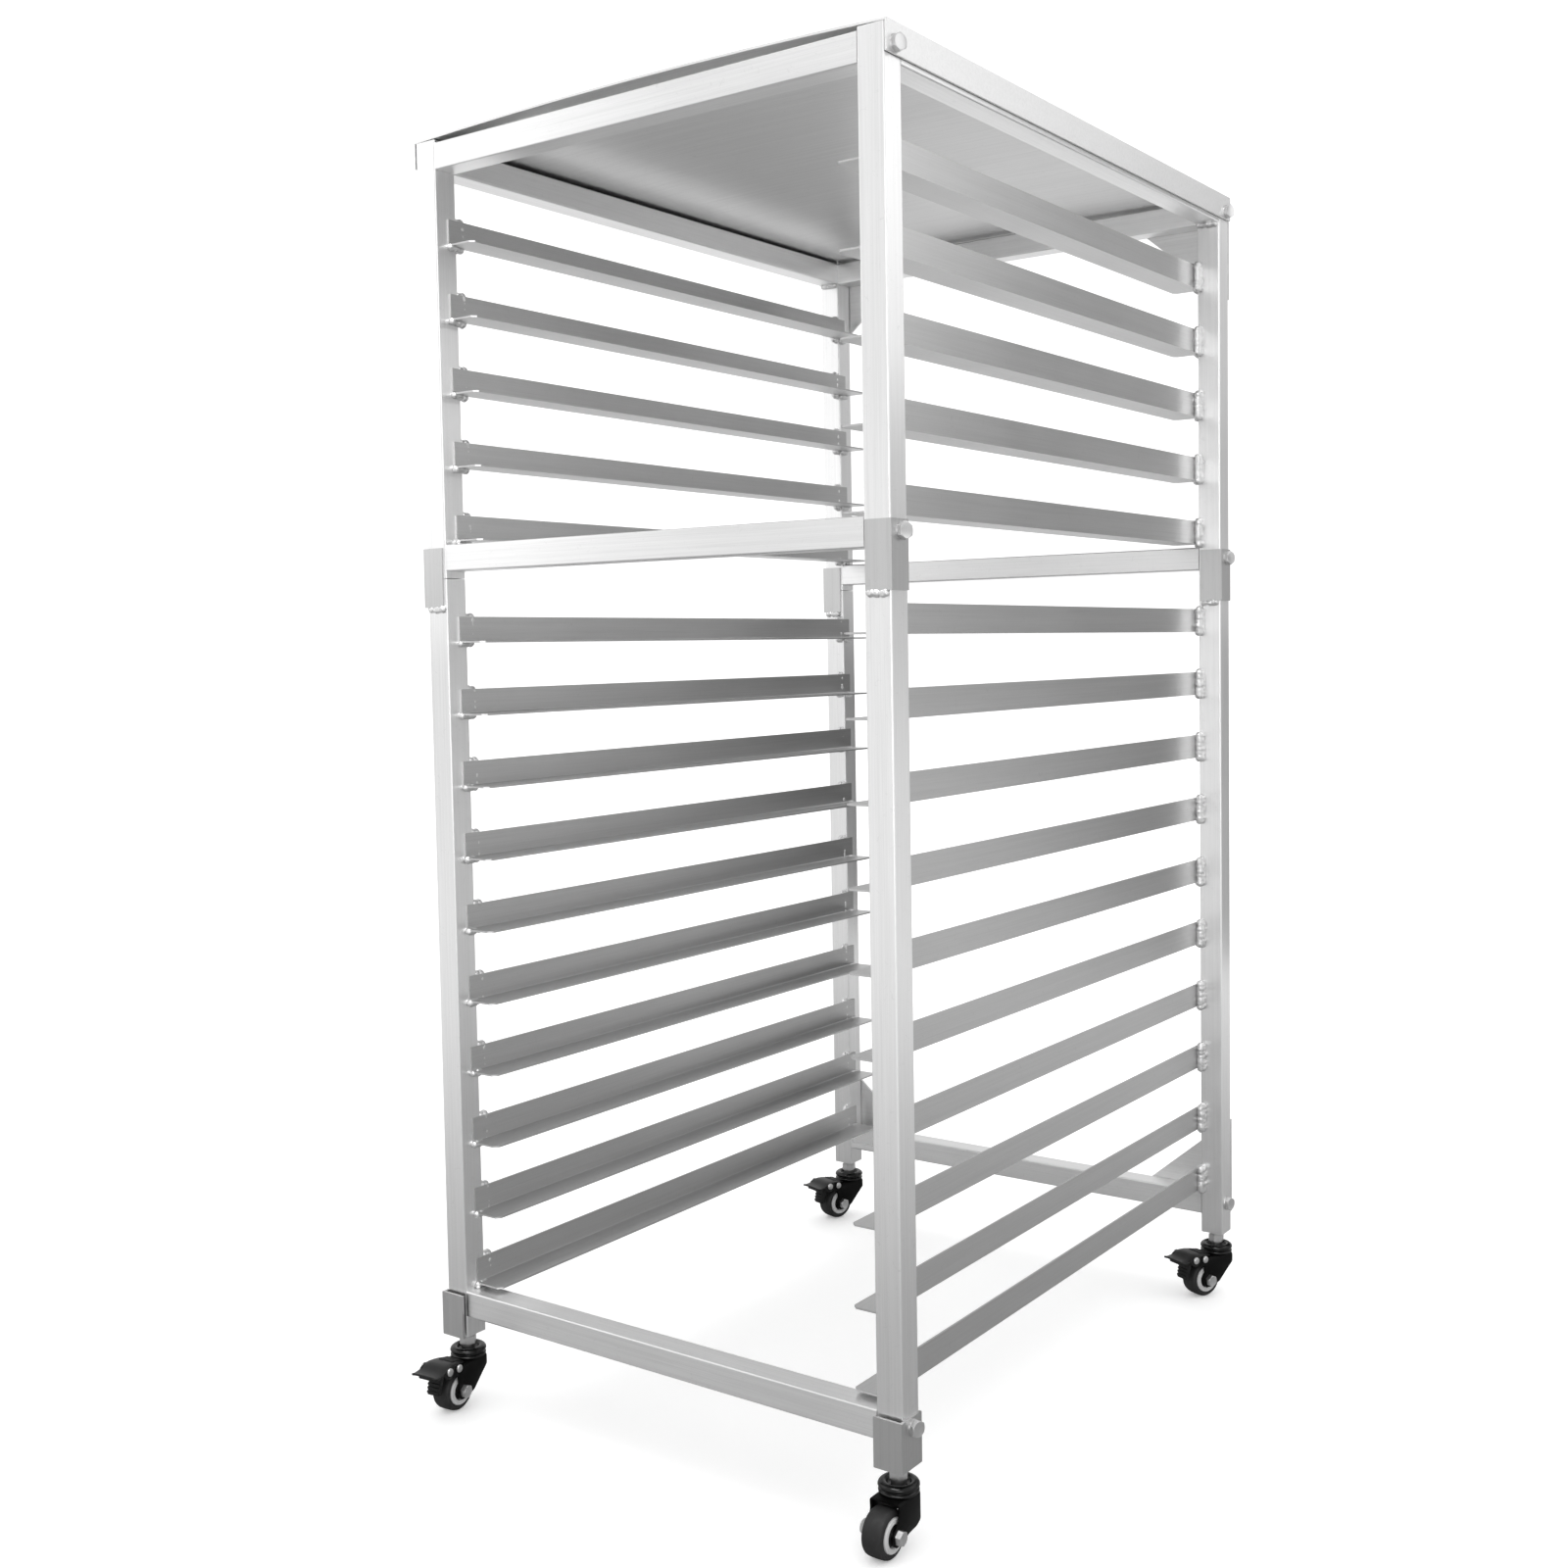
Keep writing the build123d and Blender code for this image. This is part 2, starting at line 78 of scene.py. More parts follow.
def math_node(tree, operation, first, second, clamp=False):
    """A Math node; each operand is a socket or a number."""
    node = add_node(tree, "ShaderNodeMath", operation=operation, use_clamp=clamp)
    for slot, value in enumerate((first, second)):
        if isinstance(value, (int, float)):
            node.inputs[slot].default_value = value
        else:
            tree.links.new(value, node.inputs[slot])
    return node.outputs[0]


def remap(tree, value, low, high, new_low, new_high):
    """Maps a value from one range to another, clamped."""
    node = add_node(tree, "ShaderNodeMapRange")
    tree.links.new(value, node.inputs["Value"])
    for label, number in (("From Min", low), ("From Max", high), ("To Min", new_low), ("To Max", new_high)):
        node.inputs[label].default_value = number
    return node.outputs["Result"]


def rolled_grain_group():
    """Fine lines along one direction, with broad cloudy patches and a few handling marks."""
    inputs = [("Vector", "NodeSocketVector", None), ("Along", "NodeSocketVector", (1.0, 1.0, 1.0))]
    outputs = [("Lines", "NodeSocketFloat"), ("Patches", "NodeSocketFloat"), ("Marks", "NodeSocketFloat")]
    tree, start, end = group_tree("rolled_grain", inputs, outputs)
    stretch = add_node(tree, "ShaderNodeVectorMath", operation="MULTIPLY")
    tree.links.new(start.outputs["Vector"], stretch.inputs[0])
    tree.links.new(start.outputs["Along"], stretch.inputs[1])
    fine = add_node(tree, "ShaderNodeTexNoise", Scale=1.0, Detail=2.0, Roughness=0.6)
    tree.links.new(stretch.outputs[0], fine.inputs["Vector"])
    coarse_vector = add_node(tree, "ShaderNodeVectorMath", operation="SCALE", Scale=0.22)
    tree.links.new(stretch.outputs[0], coarse_vector.inputs[0])
    coarse = add_node(tree, "ShaderNodeTexNoise", Scale=1.0, Detail=3.0, Roughness=0.55)
    tree.links.new(coarse_vector.outputs[0], coarse.inputs["Vector"])
    lines = math_node(tree, "MULTIPLY", fine.outputs["Fac"], 0.55)
    lines = math_node(tree, "ADD", lines, math_node(tree, "MULTIPLY", coarse.outputs["Fac"], 0.45))
    tree.links.new(lines, end.inputs["Lines"])
    patches = add_node(tree, "ShaderNodeTexNoise", Scale=9.0, Detail=3.0, Roughness=0.5)
    tree.links.new(start.outputs["Vector"], patches.inputs["Vector"])
    tree.links.new(patches.outputs["Fac"], end.inputs["Patches"])
    marks = add_node(tree, "ShaderNodeTexNoise", Scale=160.0, Detail=4.0, Roughness=0.7, Distortion=1.2)
    tree.links.new(start.outputs["Vector"], marks.inputs["Vector"])
    tree.links.new(remap(tree, marks.outputs["Fac"], 0.62, 0.78, 0.0, 1.0), end.inputs["Marks"])
    return tree


def moulded_speckle_group():
    """Fine pebbling and faint dust for paint, plastic and rubber."""
    inputs = [("Vector", "NodeSocketVector", None), ("Size", "NodeSocketFloat", 900.0)]
    outputs = [("Pebbles", "NodeSocketFloat"), ("Dust", "NodeSocketFloat")]
    tree, start, end = group_tree("moulded_speckle", inputs, outputs)
    pebbles = add_node(tree, "ShaderNodeTexNoise", Detail=2.0, Roughness=0.5)
    tree.links.new(start.outputs["Vector"], pebbles.inputs["Vector"])
    tree.links.new(start.outputs["Size"], pebbles.inputs["Scale"])
    tree.links.new(pebbles.outputs["Fac"], end.inputs["Pebbles"])
    dust = add_node(tree, "ShaderNodeTexNoise", Scale=120.0, Detail=5.0, Roughness=0.65)
    tree.links.new(start.outputs["Vector"], dust.inputs["Vector"])
    tree.links.new(remap(tree, dust.outputs["Fac"], 0.5, 0.8, 0.0, 1.0), end.inputs["Dust"])
    return tree


ROLLED_GRAIN = rolled_grain_group()
MOULDED_SPECKLE = moulded_speckle_group()


def new_material(name):
    """A material with one Principled BSDF, and its tree, shader and Object coordinates."""
    material = bpy.data.materials.new(name)
    material.use_nodes = True
    tree = material.node_tree
    shader = tree.nodes["Principled BSDF"]
    coordinates = tree.nodes.new("ShaderNodeTexCoord")
    return material, tree, shader, coordinates.outputs["Object"]


def bump(tree, shader, height, strength, distance):
    """Raises the surface by a height, up to a distance in metres."""
    node = add_node(tree, "ShaderNodeBump", Strength=strength, Distance=distance)
    tree.links.new(height, node.inputs["Height"])
    tree.links.new(node.outputs["Normal"], shader.inputs["Normal"])


def aluminium(name, grain, tone, roughness, spread=0.08, relief=0.12, streak=0.10, brush=0.6):
    """Satin aluminium with its mill lines along the axis that grain names.

    Spread is how far the roughness varies, relief the depth of the lines, streak how much darker the
    darkest lines are, and brush how far the highlights stretch across the lines.
    """
    material, tree, shader, vector = new_material(name)
    shader.inputs["Metallic"].default_value = 1.0
    shader.inputs["Anisotropic"].default_value = brush
    shader.inputs["Anisotropic Rotation"].default_value = 0.25
    across, along = 1500.0, 14.0        # lines per metre
    scale = [along if axis == grain else across for axis in "XYZ"]
    lines = tree.nodes.new("ShaderNodeGroup")
    lines.node_tree = ROLLED_GRAIN
    lines.inputs["Along"].default_value = scale
    tree.links.new(vector, lines.inputs["Vector"])
    direction = add_node(tree, "ShaderNodeCombineXYZ", **{grain: 1.0})
    tree.links.new(direction.outputs[0], shader.inputs["Tangent"])
    rough = math_node(tree, "MULTIPLY", lines.outputs["Lines"], spread)
    rough = math_node(tree, "ADD", rough, roughness - spread / 2)
    rough = math_node(tree, "ADD", rough, math_node(tree, "MULTIPLY", lines.outputs["Patches"], spread))
    tree.links.new(math_node(tree, "SUBTRACT", rough, spread / 2), shader.inputs["Roughness"])
    colour = add_node(tree, "ShaderNodeMix", data_type="RGBA")
    dark = tone * (1.0 - streak)
    colour.inputs["A"].default_value = (dark, dark, dark, 1.0)
    colour.inputs["B"].default_value = (tone, tone, tone, 1.0)
    worn = math_node(tree, "MULTIPLY", lines.outputs["Marks"], 0.5)
    blend = math_node(tree, "SUBTRACT", lines.outputs["Lines"], worn, True)
    tree.links.new(remap(tree, blend, 0.3, 0.6, 0.0, 1.0), colour.inputs["Factor"])
    tree.links.new(colour.outputs["Result"], shader.inputs["Base Color"])
    bump(tree, shader, lines.outputs["Lines"], relief, 0.0004)
    return material


def coated(name, tone, roughness, size, relief, dust=0.04, metallic=0.0, gloss=0.5):
    """Paint, plastic, rubber or plated metal with fine pebbling and a little dust."""
    material, tree, shader, vector = new_material(name)
    shader.inputs["Metallic"].default_value = metallic
    shader.inputs["Specular IOR Level"].default_value = gloss
    speckle = tree.nodes.new("ShaderNodeGroup")
    speckle.node_tree = MOULDED_SPECKLE
    speckle.inputs["Size"].default_value = size
    tree.links.new(vector, speckle.inputs["Vector"])
    colour = add_node(tree, "ShaderNodeMix", data_type="RGBA")
    pale = tone + dust
    colour.inputs["A"].default_value = (tone, tone, tone, 1.0)
    colour.inputs["B"].default_value = (pale, pale, pale, 1.0)
    tree.links.new(speckle.outputs["Dust"], colour.inputs["Factor"])
    tree.links.new(colour.outputs["Result"], shader.inputs["Base Color"])
    rough = math_node(tree, "ADD", math_node(tree, "MULTIPLY", speckle.outputs["Dust"], 0.15), roughness)
    tree.links.new(rough, shader.inputs["Roughness"])
    bump(tree, shader, speckle.outputs["Pebbles"], relief, 0.0003)
    return material


TUBE = {axis: aluminium("mill_aluminium_tube_along_" + axis.lower(), axis, 0.86, 0.34) for axis in "XYZ"}
SLIDE = aluminium("mill_aluminium_slide", "Y", 0.56, 0.36)
COVER = aluminium("rolled_aluminium_cover", "X", 0.80, 0.42)
GUSSET = aluminium("sawn_aluminium_plate", "X", 0.78, 0.42)
ANGLE = aluminium("sawn_aluminium_angle", "Z", 0.58, 0.34)
ZINC = coated("bright_zinc", 0.62, 0.28, 500.0, 0.10, dust=0.08, metallic=1.0)
BLACK_PAINT = coated("black_caster_paint", 0.002, 0.34, 700.0, 0.10, dust=0.002, gloss=0.10)
RING_PAINT = coated("black_swivel_paint", 0.002, 0.17, 700.0, 0.05, dust=0.002, gloss=0.34)
GREY_PLASTIC = coated("grey_wheel_plastic", 0.52, 0.42, 900.0, 0.08)
TREAD = coated("dark_wheel_tread", 0.022, 0.55, 1200.0, 0.20, dust=0.02, gloss=0.25)
BLACK_PLASTIC = coated("black_hub_plastic", 0.006, 0.45, 900.0, 0.10, dust=0.005, gloss=0.2)
PEDAL_PAINT = coated("pedal_paint", 0.005, 0.34, 700.0, 0.12, dust=0.006, gloss=0.30)
WELD = coated("aluminium_weld_bead", 0.74, 0.42, 420.0, 0.30, dust=-0.25, metallic=1.0)
RING_GREY = coated("pale_wheel_ring", 0.60, 0.38, 900.0, 0.06)


def dress(node, material):
    """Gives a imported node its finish."""
    for slot in NODES[node].material_slots:
        slot.material = material


for name in NODES:
    if "post_" in name:
        dress(name, TUBE["Z"])
    elif name.endswith("_bar"):
        dress(name, TUBE["X"])
    elif name.startswith("top_side_tube"):
        dress(name, TUBE["Y"])
    elif name.startswith("pan_slides"):
        dress(name, SLIDE)
    elif name == "top_cover":
        dress(name, COVER)
    elif name == "rear_gussets":
        dress(name, GUSSET)
    elif name in ("splice_angles", "front_foot_angles"):
        dress(name, ANGLE)
    elif name.startswith(("caster_fork", "brake_pedal")):
        dress(name, BLACK_PAINT)
    elif name.startswith("caster_rim"):
        dress(name, GREY_PLASTIC)
    elif name.startswith("caster_tread"):
        dress(name, TREAD)
    else:
        dress(name, ZINC)


def rack_centre():
    """The middle of the frame over the floor, from the cover."""
    low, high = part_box("top_cover")
    return Vector(((low[0] + high[0]) / 2, (low[1] + high[1]) / 2, 0.0))


CENTRE = rack_centre()


# ---- Shapes -------------------------------------------------------------------------------

BEVEL_ANGLE = 40.0          # degrees: sharper edges are rounded where a piece is bevelled


def rounded(corners, steps=6):
    """An outline from corners (a, b, radius), each rounded by its radius."""
    outline = []
    for i, (a, b, radius) in enumerate(corners):
        here = Vector((a, b))
        before = Vector(corners[i - 1][:2]) - here
        after = Vector(corners[(i + 1) % len(corners)][:2]) - here
        if radius == 0:
            outline.append(here)
            continue
        reach = radius / math.tan(before.angle(after) / 2)
        reach = min(reach, 0.48 * before.length, 0.48 * after.length)
        first = here + before.normalized() * reach
        last = here + after.normalized() * reach
        for k in range(steps + 1):
            t = k / steps
            outline.append(first * (1 - t) ** 2 + here * (2 * t * (1 - t)) + last * t ** 2)
    return outline


def slab(mesh, outline, low, high):
    """A plate whose outline (Y, Z) runs along X from low to high."""
    near = [mesh.verts.new((low, y, z)) for y, z in outline]
    far = [mesh.verts.new((high, y, z)) for y, z in outline]
    mesh.faces.new(near)
    mesh.faces.new(far[::-1])
    for i in range(len(outline)):
        mesh.faces.new((near[i - 1], near[i], far[i], far[i - 1]))


def lathe(mesh, profile, steps=64, closed=False, place=None):
    """Turns a (radius, height) profile about Z. A radius of 0 is a pole, and closed joins its ends."""
    place = place or Matrix.Identity(4)
    rings = []
    for radius, height in profile:
        count = steps if radius else 1
        angles = [2 * math.pi * i / steps for i in range(count)]
        ring = [Vector((radius * math.cos(a), radius * math.sin(a), height)) for a in angles]
        rings.append([mesh.verts.new(place @ point) for point in ring])
    pairs = list(zip(rings, rings[1:]))
    if closed:
        pairs.append((rings[-1], rings[0]))
    made = []
    for low, high in pairs:
        for i in range(steps):
            j = (i + 1) % steps
            ring = [low[i % len(low)], low[j % len(low)], high[j % len(high)], high[i % len(high)]]
            made.append(mesh.faces.new(list(dict.fromkeys(ring))))
    return made


def hex_head(mesh, flats, height, place=None, dish=0.0):
    """A hexagon head standing on Z = 0: its corners are turned off at 30 degrees, its middle dished."""
    place = place or Matrix.Identity(4)
    steps = 48
    crown = flats * 0.475
    rings = [[], [], [], []]
    for i in range(steps):
        angle = 2 * math.pi * i / steps
        reach = flats / 2 / math.cos((angle % (math.pi / 3)) - math.pi / 6)
        drop = max(0.0, reach - crown) * math.tan(math.radians(30))
        levels = ((reach, 0), (reach, height - drop), (crown, height), (crown * 0.86, height - dish))
        for ring, (radius, z) in zip(rings, levels):
            point = Vector((radius * math.cos(angle), radius * math.sin(angle), z))
            ring.append(mesh.verts.new(place @ point))
    for low, high in zip(rings, rings[1:]):
        for i in range(steps):
            mesh.faces.new((low[i - 1], low[i], high[i], high[i - 1]))
    mesh.faces.new(rings[0][::-1])
    mesh.faces.new(rings[3])


def bare_object(name, mesh):
    """A new object for a bmesh, which is freed."""
    bmesh.ops.recalc_face_normals(mesh, faces=mesh.faces)
    data = bpy.data.meshes.new(name)
    mesh.to_mesh(data)
    mesh.free()
    holder = bpy.data.objects.new(name, data)
    bpy.context.scene.collection.objects.link(holder)
    return holder


def bake(holder):
    """Turns an object's modifiers into its plain mesh."""
    bpy.context.view_layer.update()
    graph = bpy.context.evaluated_depsgraph_get()
    shaped = holder.evaluated_get(graph)
    solid = bpy.data.meshes.new_from_object(shaped, preserve_all_data_layers=True, depsgraph=graph)
    holder.modifiers.clear()
    holder.data = solid
    return holder


def finish(piece, body, nodes=(), materials=(), sharp=38.0, bevel=0.0):
    """Smooths a piece, gives it its finish, ties it to its body and hides the nodes it stands for.

    Sharp is the angle in degrees above which an edge stays sharp, and bevel a radius in millimetres.
    """
    for material in materials:
        piece.data.materials.append(material)
    if bevel:
        edge = piece.modifiers.new("edge_round", "BEVEL")
        edge.width = bevel * MM
        edge.segments = 2
        edge.limit_method = "ANGLE"
        edge.angle_limit = math.radians(BEVEL_ANGLE)
        bake(piece)
    piece.data.shade_smooth()
    piece.data.set_sharp_from_angle(angle=math.radians(sharp))
    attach(piece, body)
    if nodes:
        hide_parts(*nodes)
    return piece


# ---- Geometry Nodes -----------------------------------------------------------------------

def copies_tree():
    """Stands a copy of one object on every point, turned by the point's own attribute."""
    tree = bpy.data.node_groups.new("stand_copies", "GeometryNodeTree")
    tree.interface.new_socket("Geometry", in_out="INPUT", socket_type="NodeSocketGeometry")
    tree.interface.new_socket("Copy", in_out="INPUT", socket_type="NodeSocketObject")
    tree.interface.new_socket("Scale", in_out="INPUT", socket_type="NodeSocketFloat")
    tree.interface.new_socket("Finish", in_out="INPUT", socket_type="NodeSocketMaterial")
    tree.interface.new_socket("Geometry", in_out="OUTPUT", socket_type="NodeSocketGeometry")
    start, end = tree.nodes.new("NodeGroupInput"), tree.nodes.new("NodeGroupOutput")
    shape = tree.nodes.new("GeometryNodeObjectInfo")
    turn = add_node(tree, "GeometryNodeInputNamedAttribute", data_type="FLOAT_VECTOR", Name="turn")
    stand = tree.nodes.new("GeometryNodeInstanceOnPoints")
    real = tree.nodes.new("GeometryNodeRealizeInstances")
    coat = tree.nodes.new("GeometryNodeSetMaterial")
    tree.links.new(start.outputs["Geometry"], stand.inputs["Points"])
    tree.links.new(start.outputs["Copy"], shape.inputs["Object"])
    tree.links.new(shape.outputs["Geometry"], stand.inputs["Instance"])
    tree.links.new(turn.outputs["Attribute"], stand.inputs["Rotation"])
    tree.links.new(start.outputs["Scale"], stand.inputs["Scale"])
    tree.links.new(stand.outputs["Instances"], real.inputs["Geometry"])
    tree.links.new(real.outputs["Geometry"], coat.inputs["Geometry"])
    tree.links.new(start.outputs["Finish"], coat.inputs["Material"])
    tree.links.new(coat.outputs["Geometry"], end.inputs["Geometry"])
    return tree


def weld_tree():
    """Runs a lumpy bead of weld metal along every edge."""
    tree = bpy.data.node_groups.new("weld_beads", "GeometryNodeTree")
    tree.interface.new_socket("Geometry", in_out="INPUT", socket_type="NodeSocketGeometry")
    for label, value in (("Radius", 0.0045), ("Spacing", 0.0022), ("Wander", 0.0008), ("Ripple", 0.0004)):
        tree.interface.new_socket(label, in_out="INPUT", socket_type="NodeSocketFloat").default_value = value
    tree.interface.new_socket("Seed", in_out="INPUT", socket_type="NodeSocketInt").default_value = 3
    tree.interface.new_socket("Finish", in_out="INPUT", socket_type="NodeSocketMaterial")
    tree.interface.new_socket("Geometry", in_out="OUTPUT", socket_type="NodeSocketGeometry")
    start, end = tree.nodes.new("NodeGroupInput"), tree.nodes.new("NodeGroupOutput")
    line = tree.nodes.new("GeometryNodeMeshToCurve")
    drops = add_node(tree, "GeometryNodeCurveToPoints", mode="LENGTH")
    size = add_node(tree, "FunctionNodeRandomValue", data_type="FLOAT")
    low = math_node(tree, "MULTIPLY", start.outputs["Radius"], 0.86)
    high = math_node(tree, "MULTIPLY", start.outputs["Radius"], 1.10)
    shift = add_node(tree, "FunctionNodeRandomValue", data_type="FLOAT_VECTOR")
    shift.inputs["Min"].default_value, shift.inputs["Max"].default_value = (-1, -1, -0.4), (1, 1, 0.4)
    scaled = add_node(tree, "ShaderNodeVectorMath", operation="SCALE")
    move = tree.nodes.new("GeometryNodeSetPosition")
    volume = add_node(tree, "GeometryNodePointsToVolume", resolution_mode="VOXEL_SIZE")
    volume.inputs["Voxel Size"].default_value = 0.0009
    skin = add_node(tree, "GeometryNodeVolumeToMesh", Threshold=0.1, Adaptivity=0.0)
    noise = add_node(tree, "ShaderNodeTexNoise", Scale=420.0, Detail=2.0, Roughness=0.6)
    normal = tree.nodes.new("GeometryNodeInputNormal")
    push = add_node(tree, "ShaderNodeVectorMath", operation="SCALE")
    ripple = tree.nodes.new("GeometryNodeSetPosition")
    smooth = tree.nodes.new("GeometryNodeSetShadeSmooth")
    real = tree.nodes.new("GeometryNodeRealizeInstances")
    coat = tree.nodes.new("GeometryNodeSetMaterial")
    tree.links.new(start.outputs["Geometry"], line.inputs["Mesh"])
    tree.links.new(line.outputs["Curve"], drops.inputs["Curve"])
    tree.links.new(start.outputs["Spacing"], drops.inputs["Length"])
    named(size, "Min", low)
    named(size, "Max", high)
    for node in (size, shift):
        tree.links.new(start.outputs["Seed"], node.inputs["Seed"])
    tree.links.new(shift.outputs["Value"], scaled.inputs[0])
    tree.links.new(start.outputs["Wander"], scaled.inputs["Scale"])
    tree.links.new(drops.outputs["Points"], move.inputs["Geometry"])
    tree.links.new(scaled.outputs[0], move.inputs["Offset"])
    tree.links.new(move.outputs["Geometry"], volume.inputs["Points"])
    tree.links.new([s for s in size.outputs if s.enabled][0], volume.inputs["Radius"])
    tree.links.new(volume.outputs["Volume"], skin.inputs["Volume"])
    lift = math_node(tree, "SUBTRACT", noise.outputs["Fac"], 0.5)
    lift = math_node(tree, "MULTIPLY", lift, start.outputs["Ripple"])
    lift = math_node(tree, "MULTIPLY", lift, 4.0)
    tree.links.new(normal.outputs["Normal"], push.inputs[0])
    tree.links.new(lift, push.inputs["Scale"])
    tree.links.new(skin.outputs["Mesh"], ripple.inputs["Geometry"])
    tree.links.new(push.outputs[0], ripple.inputs["Offset"])
    tree.links.new(ripple.outputs["Geometry"], smooth.inputs["Geometry"])
    tree.links.new(smooth.outputs["Geometry"], real.inputs["Geometry"])
    tree.links.new(real.outputs["Geometry"], coat.inputs["Geometry"])
    tree.links.new(start.outputs["Finish"], coat.inputs["Material"])
    tree.links.new(coat.outputs["Geometry"], end.inputs["Geometry"])
    return tree


def named(node, label, source):
    """Links a source to the enabled input of that name."""
    socket = [s for s in node.inputs if s.name == label and s.enabled][0]
    node.id_data.links.new(source, socket)


def grow(holder, tree, **values):
    """Runs a Geometry Nodes tree on an object and keeps the plain mesh."""
    modifier = holder.modifiers.new(tree.name, "NODES")
    modifier.node_group = tree
    for item in tree.interface.items_tree:
        if item.in_out == "INPUT" and item.name in values:
            modifier[item.identifier] = values[item.name]
    return bake(holder)


STAND_COPIES = copies_tree()
WELD_BEADS = weld_tree()


def stand_copies(name, shape, spots, finish_material):
    """Copies of a shape drawn in millimetres on Z, each at (place, turn)."""
    pattern = bare_object(name + "_pattern", shape)
    points = bpy.data.meshes.new(name)
    points.from_pydata([place for place, turn in spots], [], [])
    turns = points.attributes.new("turn", "FLOAT_VECTOR", "POINT")
    for i, (place, turn) in enumerate(spots):
        turns.data[i].vector = turn
    holder = bpy.data.objects.new(name, points)
    bpy.context.scene.collection.objects.link(holder)
    grow(holder, STAND_COPIES, Copy=pattern, Scale=MM, Finish=finish_material)
    bpy.data.objects.remove(pattern)
    return holder


# ---- Casters ------------------------------------------------------------------------------

JOINTS = {joint["name"]: joint for joint in frame["joints"]}
CORNERS = ("front_left", "front_right", "rear_left", "rear_right")


class Caster:
    """One caster's own millimetre frame: Z is the swivel axis and the wheel trails towards -Y."""

    def __init__(self, corner):
        swivel = Vector(JOINTS["swivel_" + corner]["pos_m"])
        axle = Vector(JOINTS["roll_" + corner]["pos_m"])
        trail = axle - swivel
        turn = math.atan2(trail.x, -trail.y)
        self.corner = corner
        self.turn = turn
        stand = Matrix.Translation((swivel.x, swivel.y, 0))
        self.place = stand @ Matrix.Rotation(turn, 4, "Z") @ Matrix.Scale(MM, 4)
        self.trail = trail.xy.length / MM
        self.axle_z = axle.z / MM
        self.top = swivel.z / MM
        pin = JOINTS.get("brake_" + corner)
        self.brake = pin is not None
        if pin:
            self.pin = (-(Vector(pin["pos_m"]) - swivel).xy.length / MM, pin["pos_m"][2] / MM)

    def wheel_place(self):
        """From a shape on the Z axis to one on the axle."""
        return Matrix.Translation((0, -self.trail, self.axle_z)) @ Matrix.Rotation(math.pi / 2, 4, "Y")


# Millimetres, in each caster's own frame.
FORK_HALF = 14.5            # half the fork's width
SHEET = 2.0                 # thickness of the fork's metal
AXLE_R = 3.0
AXLE_HEAD_FLATS = 11.0
AXLE_HEAD_HEIGHT = 5.0
TAB_R = 7.0                 # round of the pedal's tabs about their pin
STEM_R = 4.7
STEM_HEX_FLATS = 14.6
STEM_HEX_HEIGHT = 8.0


def fork_shell(caster):
    """The fork before its sides are cut out: a sheet bent over both sides and round the back."""
    mesh = bmesh.new()
    top = caster.top
    corner_y, corner_r = 8.0, 6.0
    path = [(1, y, 0.0) for y in (-34.0, -22.0, -10.0, 0.0)]
    path += [(1, None, math.radians(a)) for a in range(0, 91, 15)]
    path += [(-1, None, math.radians(a)) for a in range(90, 181, 15)]
    path += [(-1, y, math.pi) for y in (0.0, -10.0, -22.0, -34.0)]
    bends = [math.radians(a) for a in (0, 18, 36, 54, 72, 90)]

    def wall(inset, radius, shoulder):
        """One skin of the sheet, an inset in from the outside, bent over above the shoulder."""
        levels = [(FORK_HALF - inset, 4.0)]
        for a in bends:
            levels.append((FORK_HALF - inset - radius * (1 - math.cos(a)), shoulder + radius * math.sin(a)))
        rows = []
        for reach, z in levels:
            row = []
            for side, y, angle in path:
                if y is None:
                    bend = corner_r - (FORK_HALF - reach)
                    x = side * (FORK_HALF - corner_r) + bend * math.cos(angle)
                    row.append(mesh.verts.new((x, corner_y + bend * math.sin(angle), z)))
                else:
                    row.append(mesh.verts.new((side * reach, y, z)))
            rows.append(row)
        for low, high in zip(rows, rows[1:]):
            for i in range(len(path) - 1):
                mesh.faces.new((low[i], low[i + 1], high[i + 1], high[i]))
        mesh.faces.new(rows[-1])
        return rows

    outer = wall(0.0, 3.2, top - 3.2)
    inner = wall(SHEET, 1.2, top - 3.2)
    for i in range(len(path) - 1):
        mesh.faces.new((outer[0][i], outer[0][i + 1], inner[0][i + 1], inner[0][i]))
    for end in (0, -1):
        for k in range(len(outer) - 1):
            mesh.faces.new((outer[k][end], outer[k + 1][end], inner[k + 1][end], inner[k][end]))
    mesh.faces.new((outer[-1][0], outer[-1][-1], inner[-1][-1], inner[-1][0]))
    return bare_object("fork_shell_" + caster.corner, mesh)


def fork_outline(caster):
    """The side view that the fork is cut to."""
    back = caster.trail
    low = caster.axle_z
    drop = 35.5 if caster.brake else 22.5
    rear = [(-22.4, 46, 0), (15.5, 46, 0), (15.2, drop, 3), (9.4, drop - 1.5, 4)]
    rear += [(4.2, drop * 0.85 - 1.0, 6), (-8.8, 16.4, 5)]
    eye = [(-back + 5, low - 7.6, 6), (-back - 6, low - 7.6, 6)]
    if caster.brake:
        return rear + eye + [(-back - 8, low + 1, 5), (-30.6, 30, 4), (-32, 40, 2), (-22.4, 44, 1)]
    return rear + eye + [(-back - 7.4, low + 2, 4), (-25, 27.5, 4), (-21, 34, 5), (-21.4, 44, 1)]


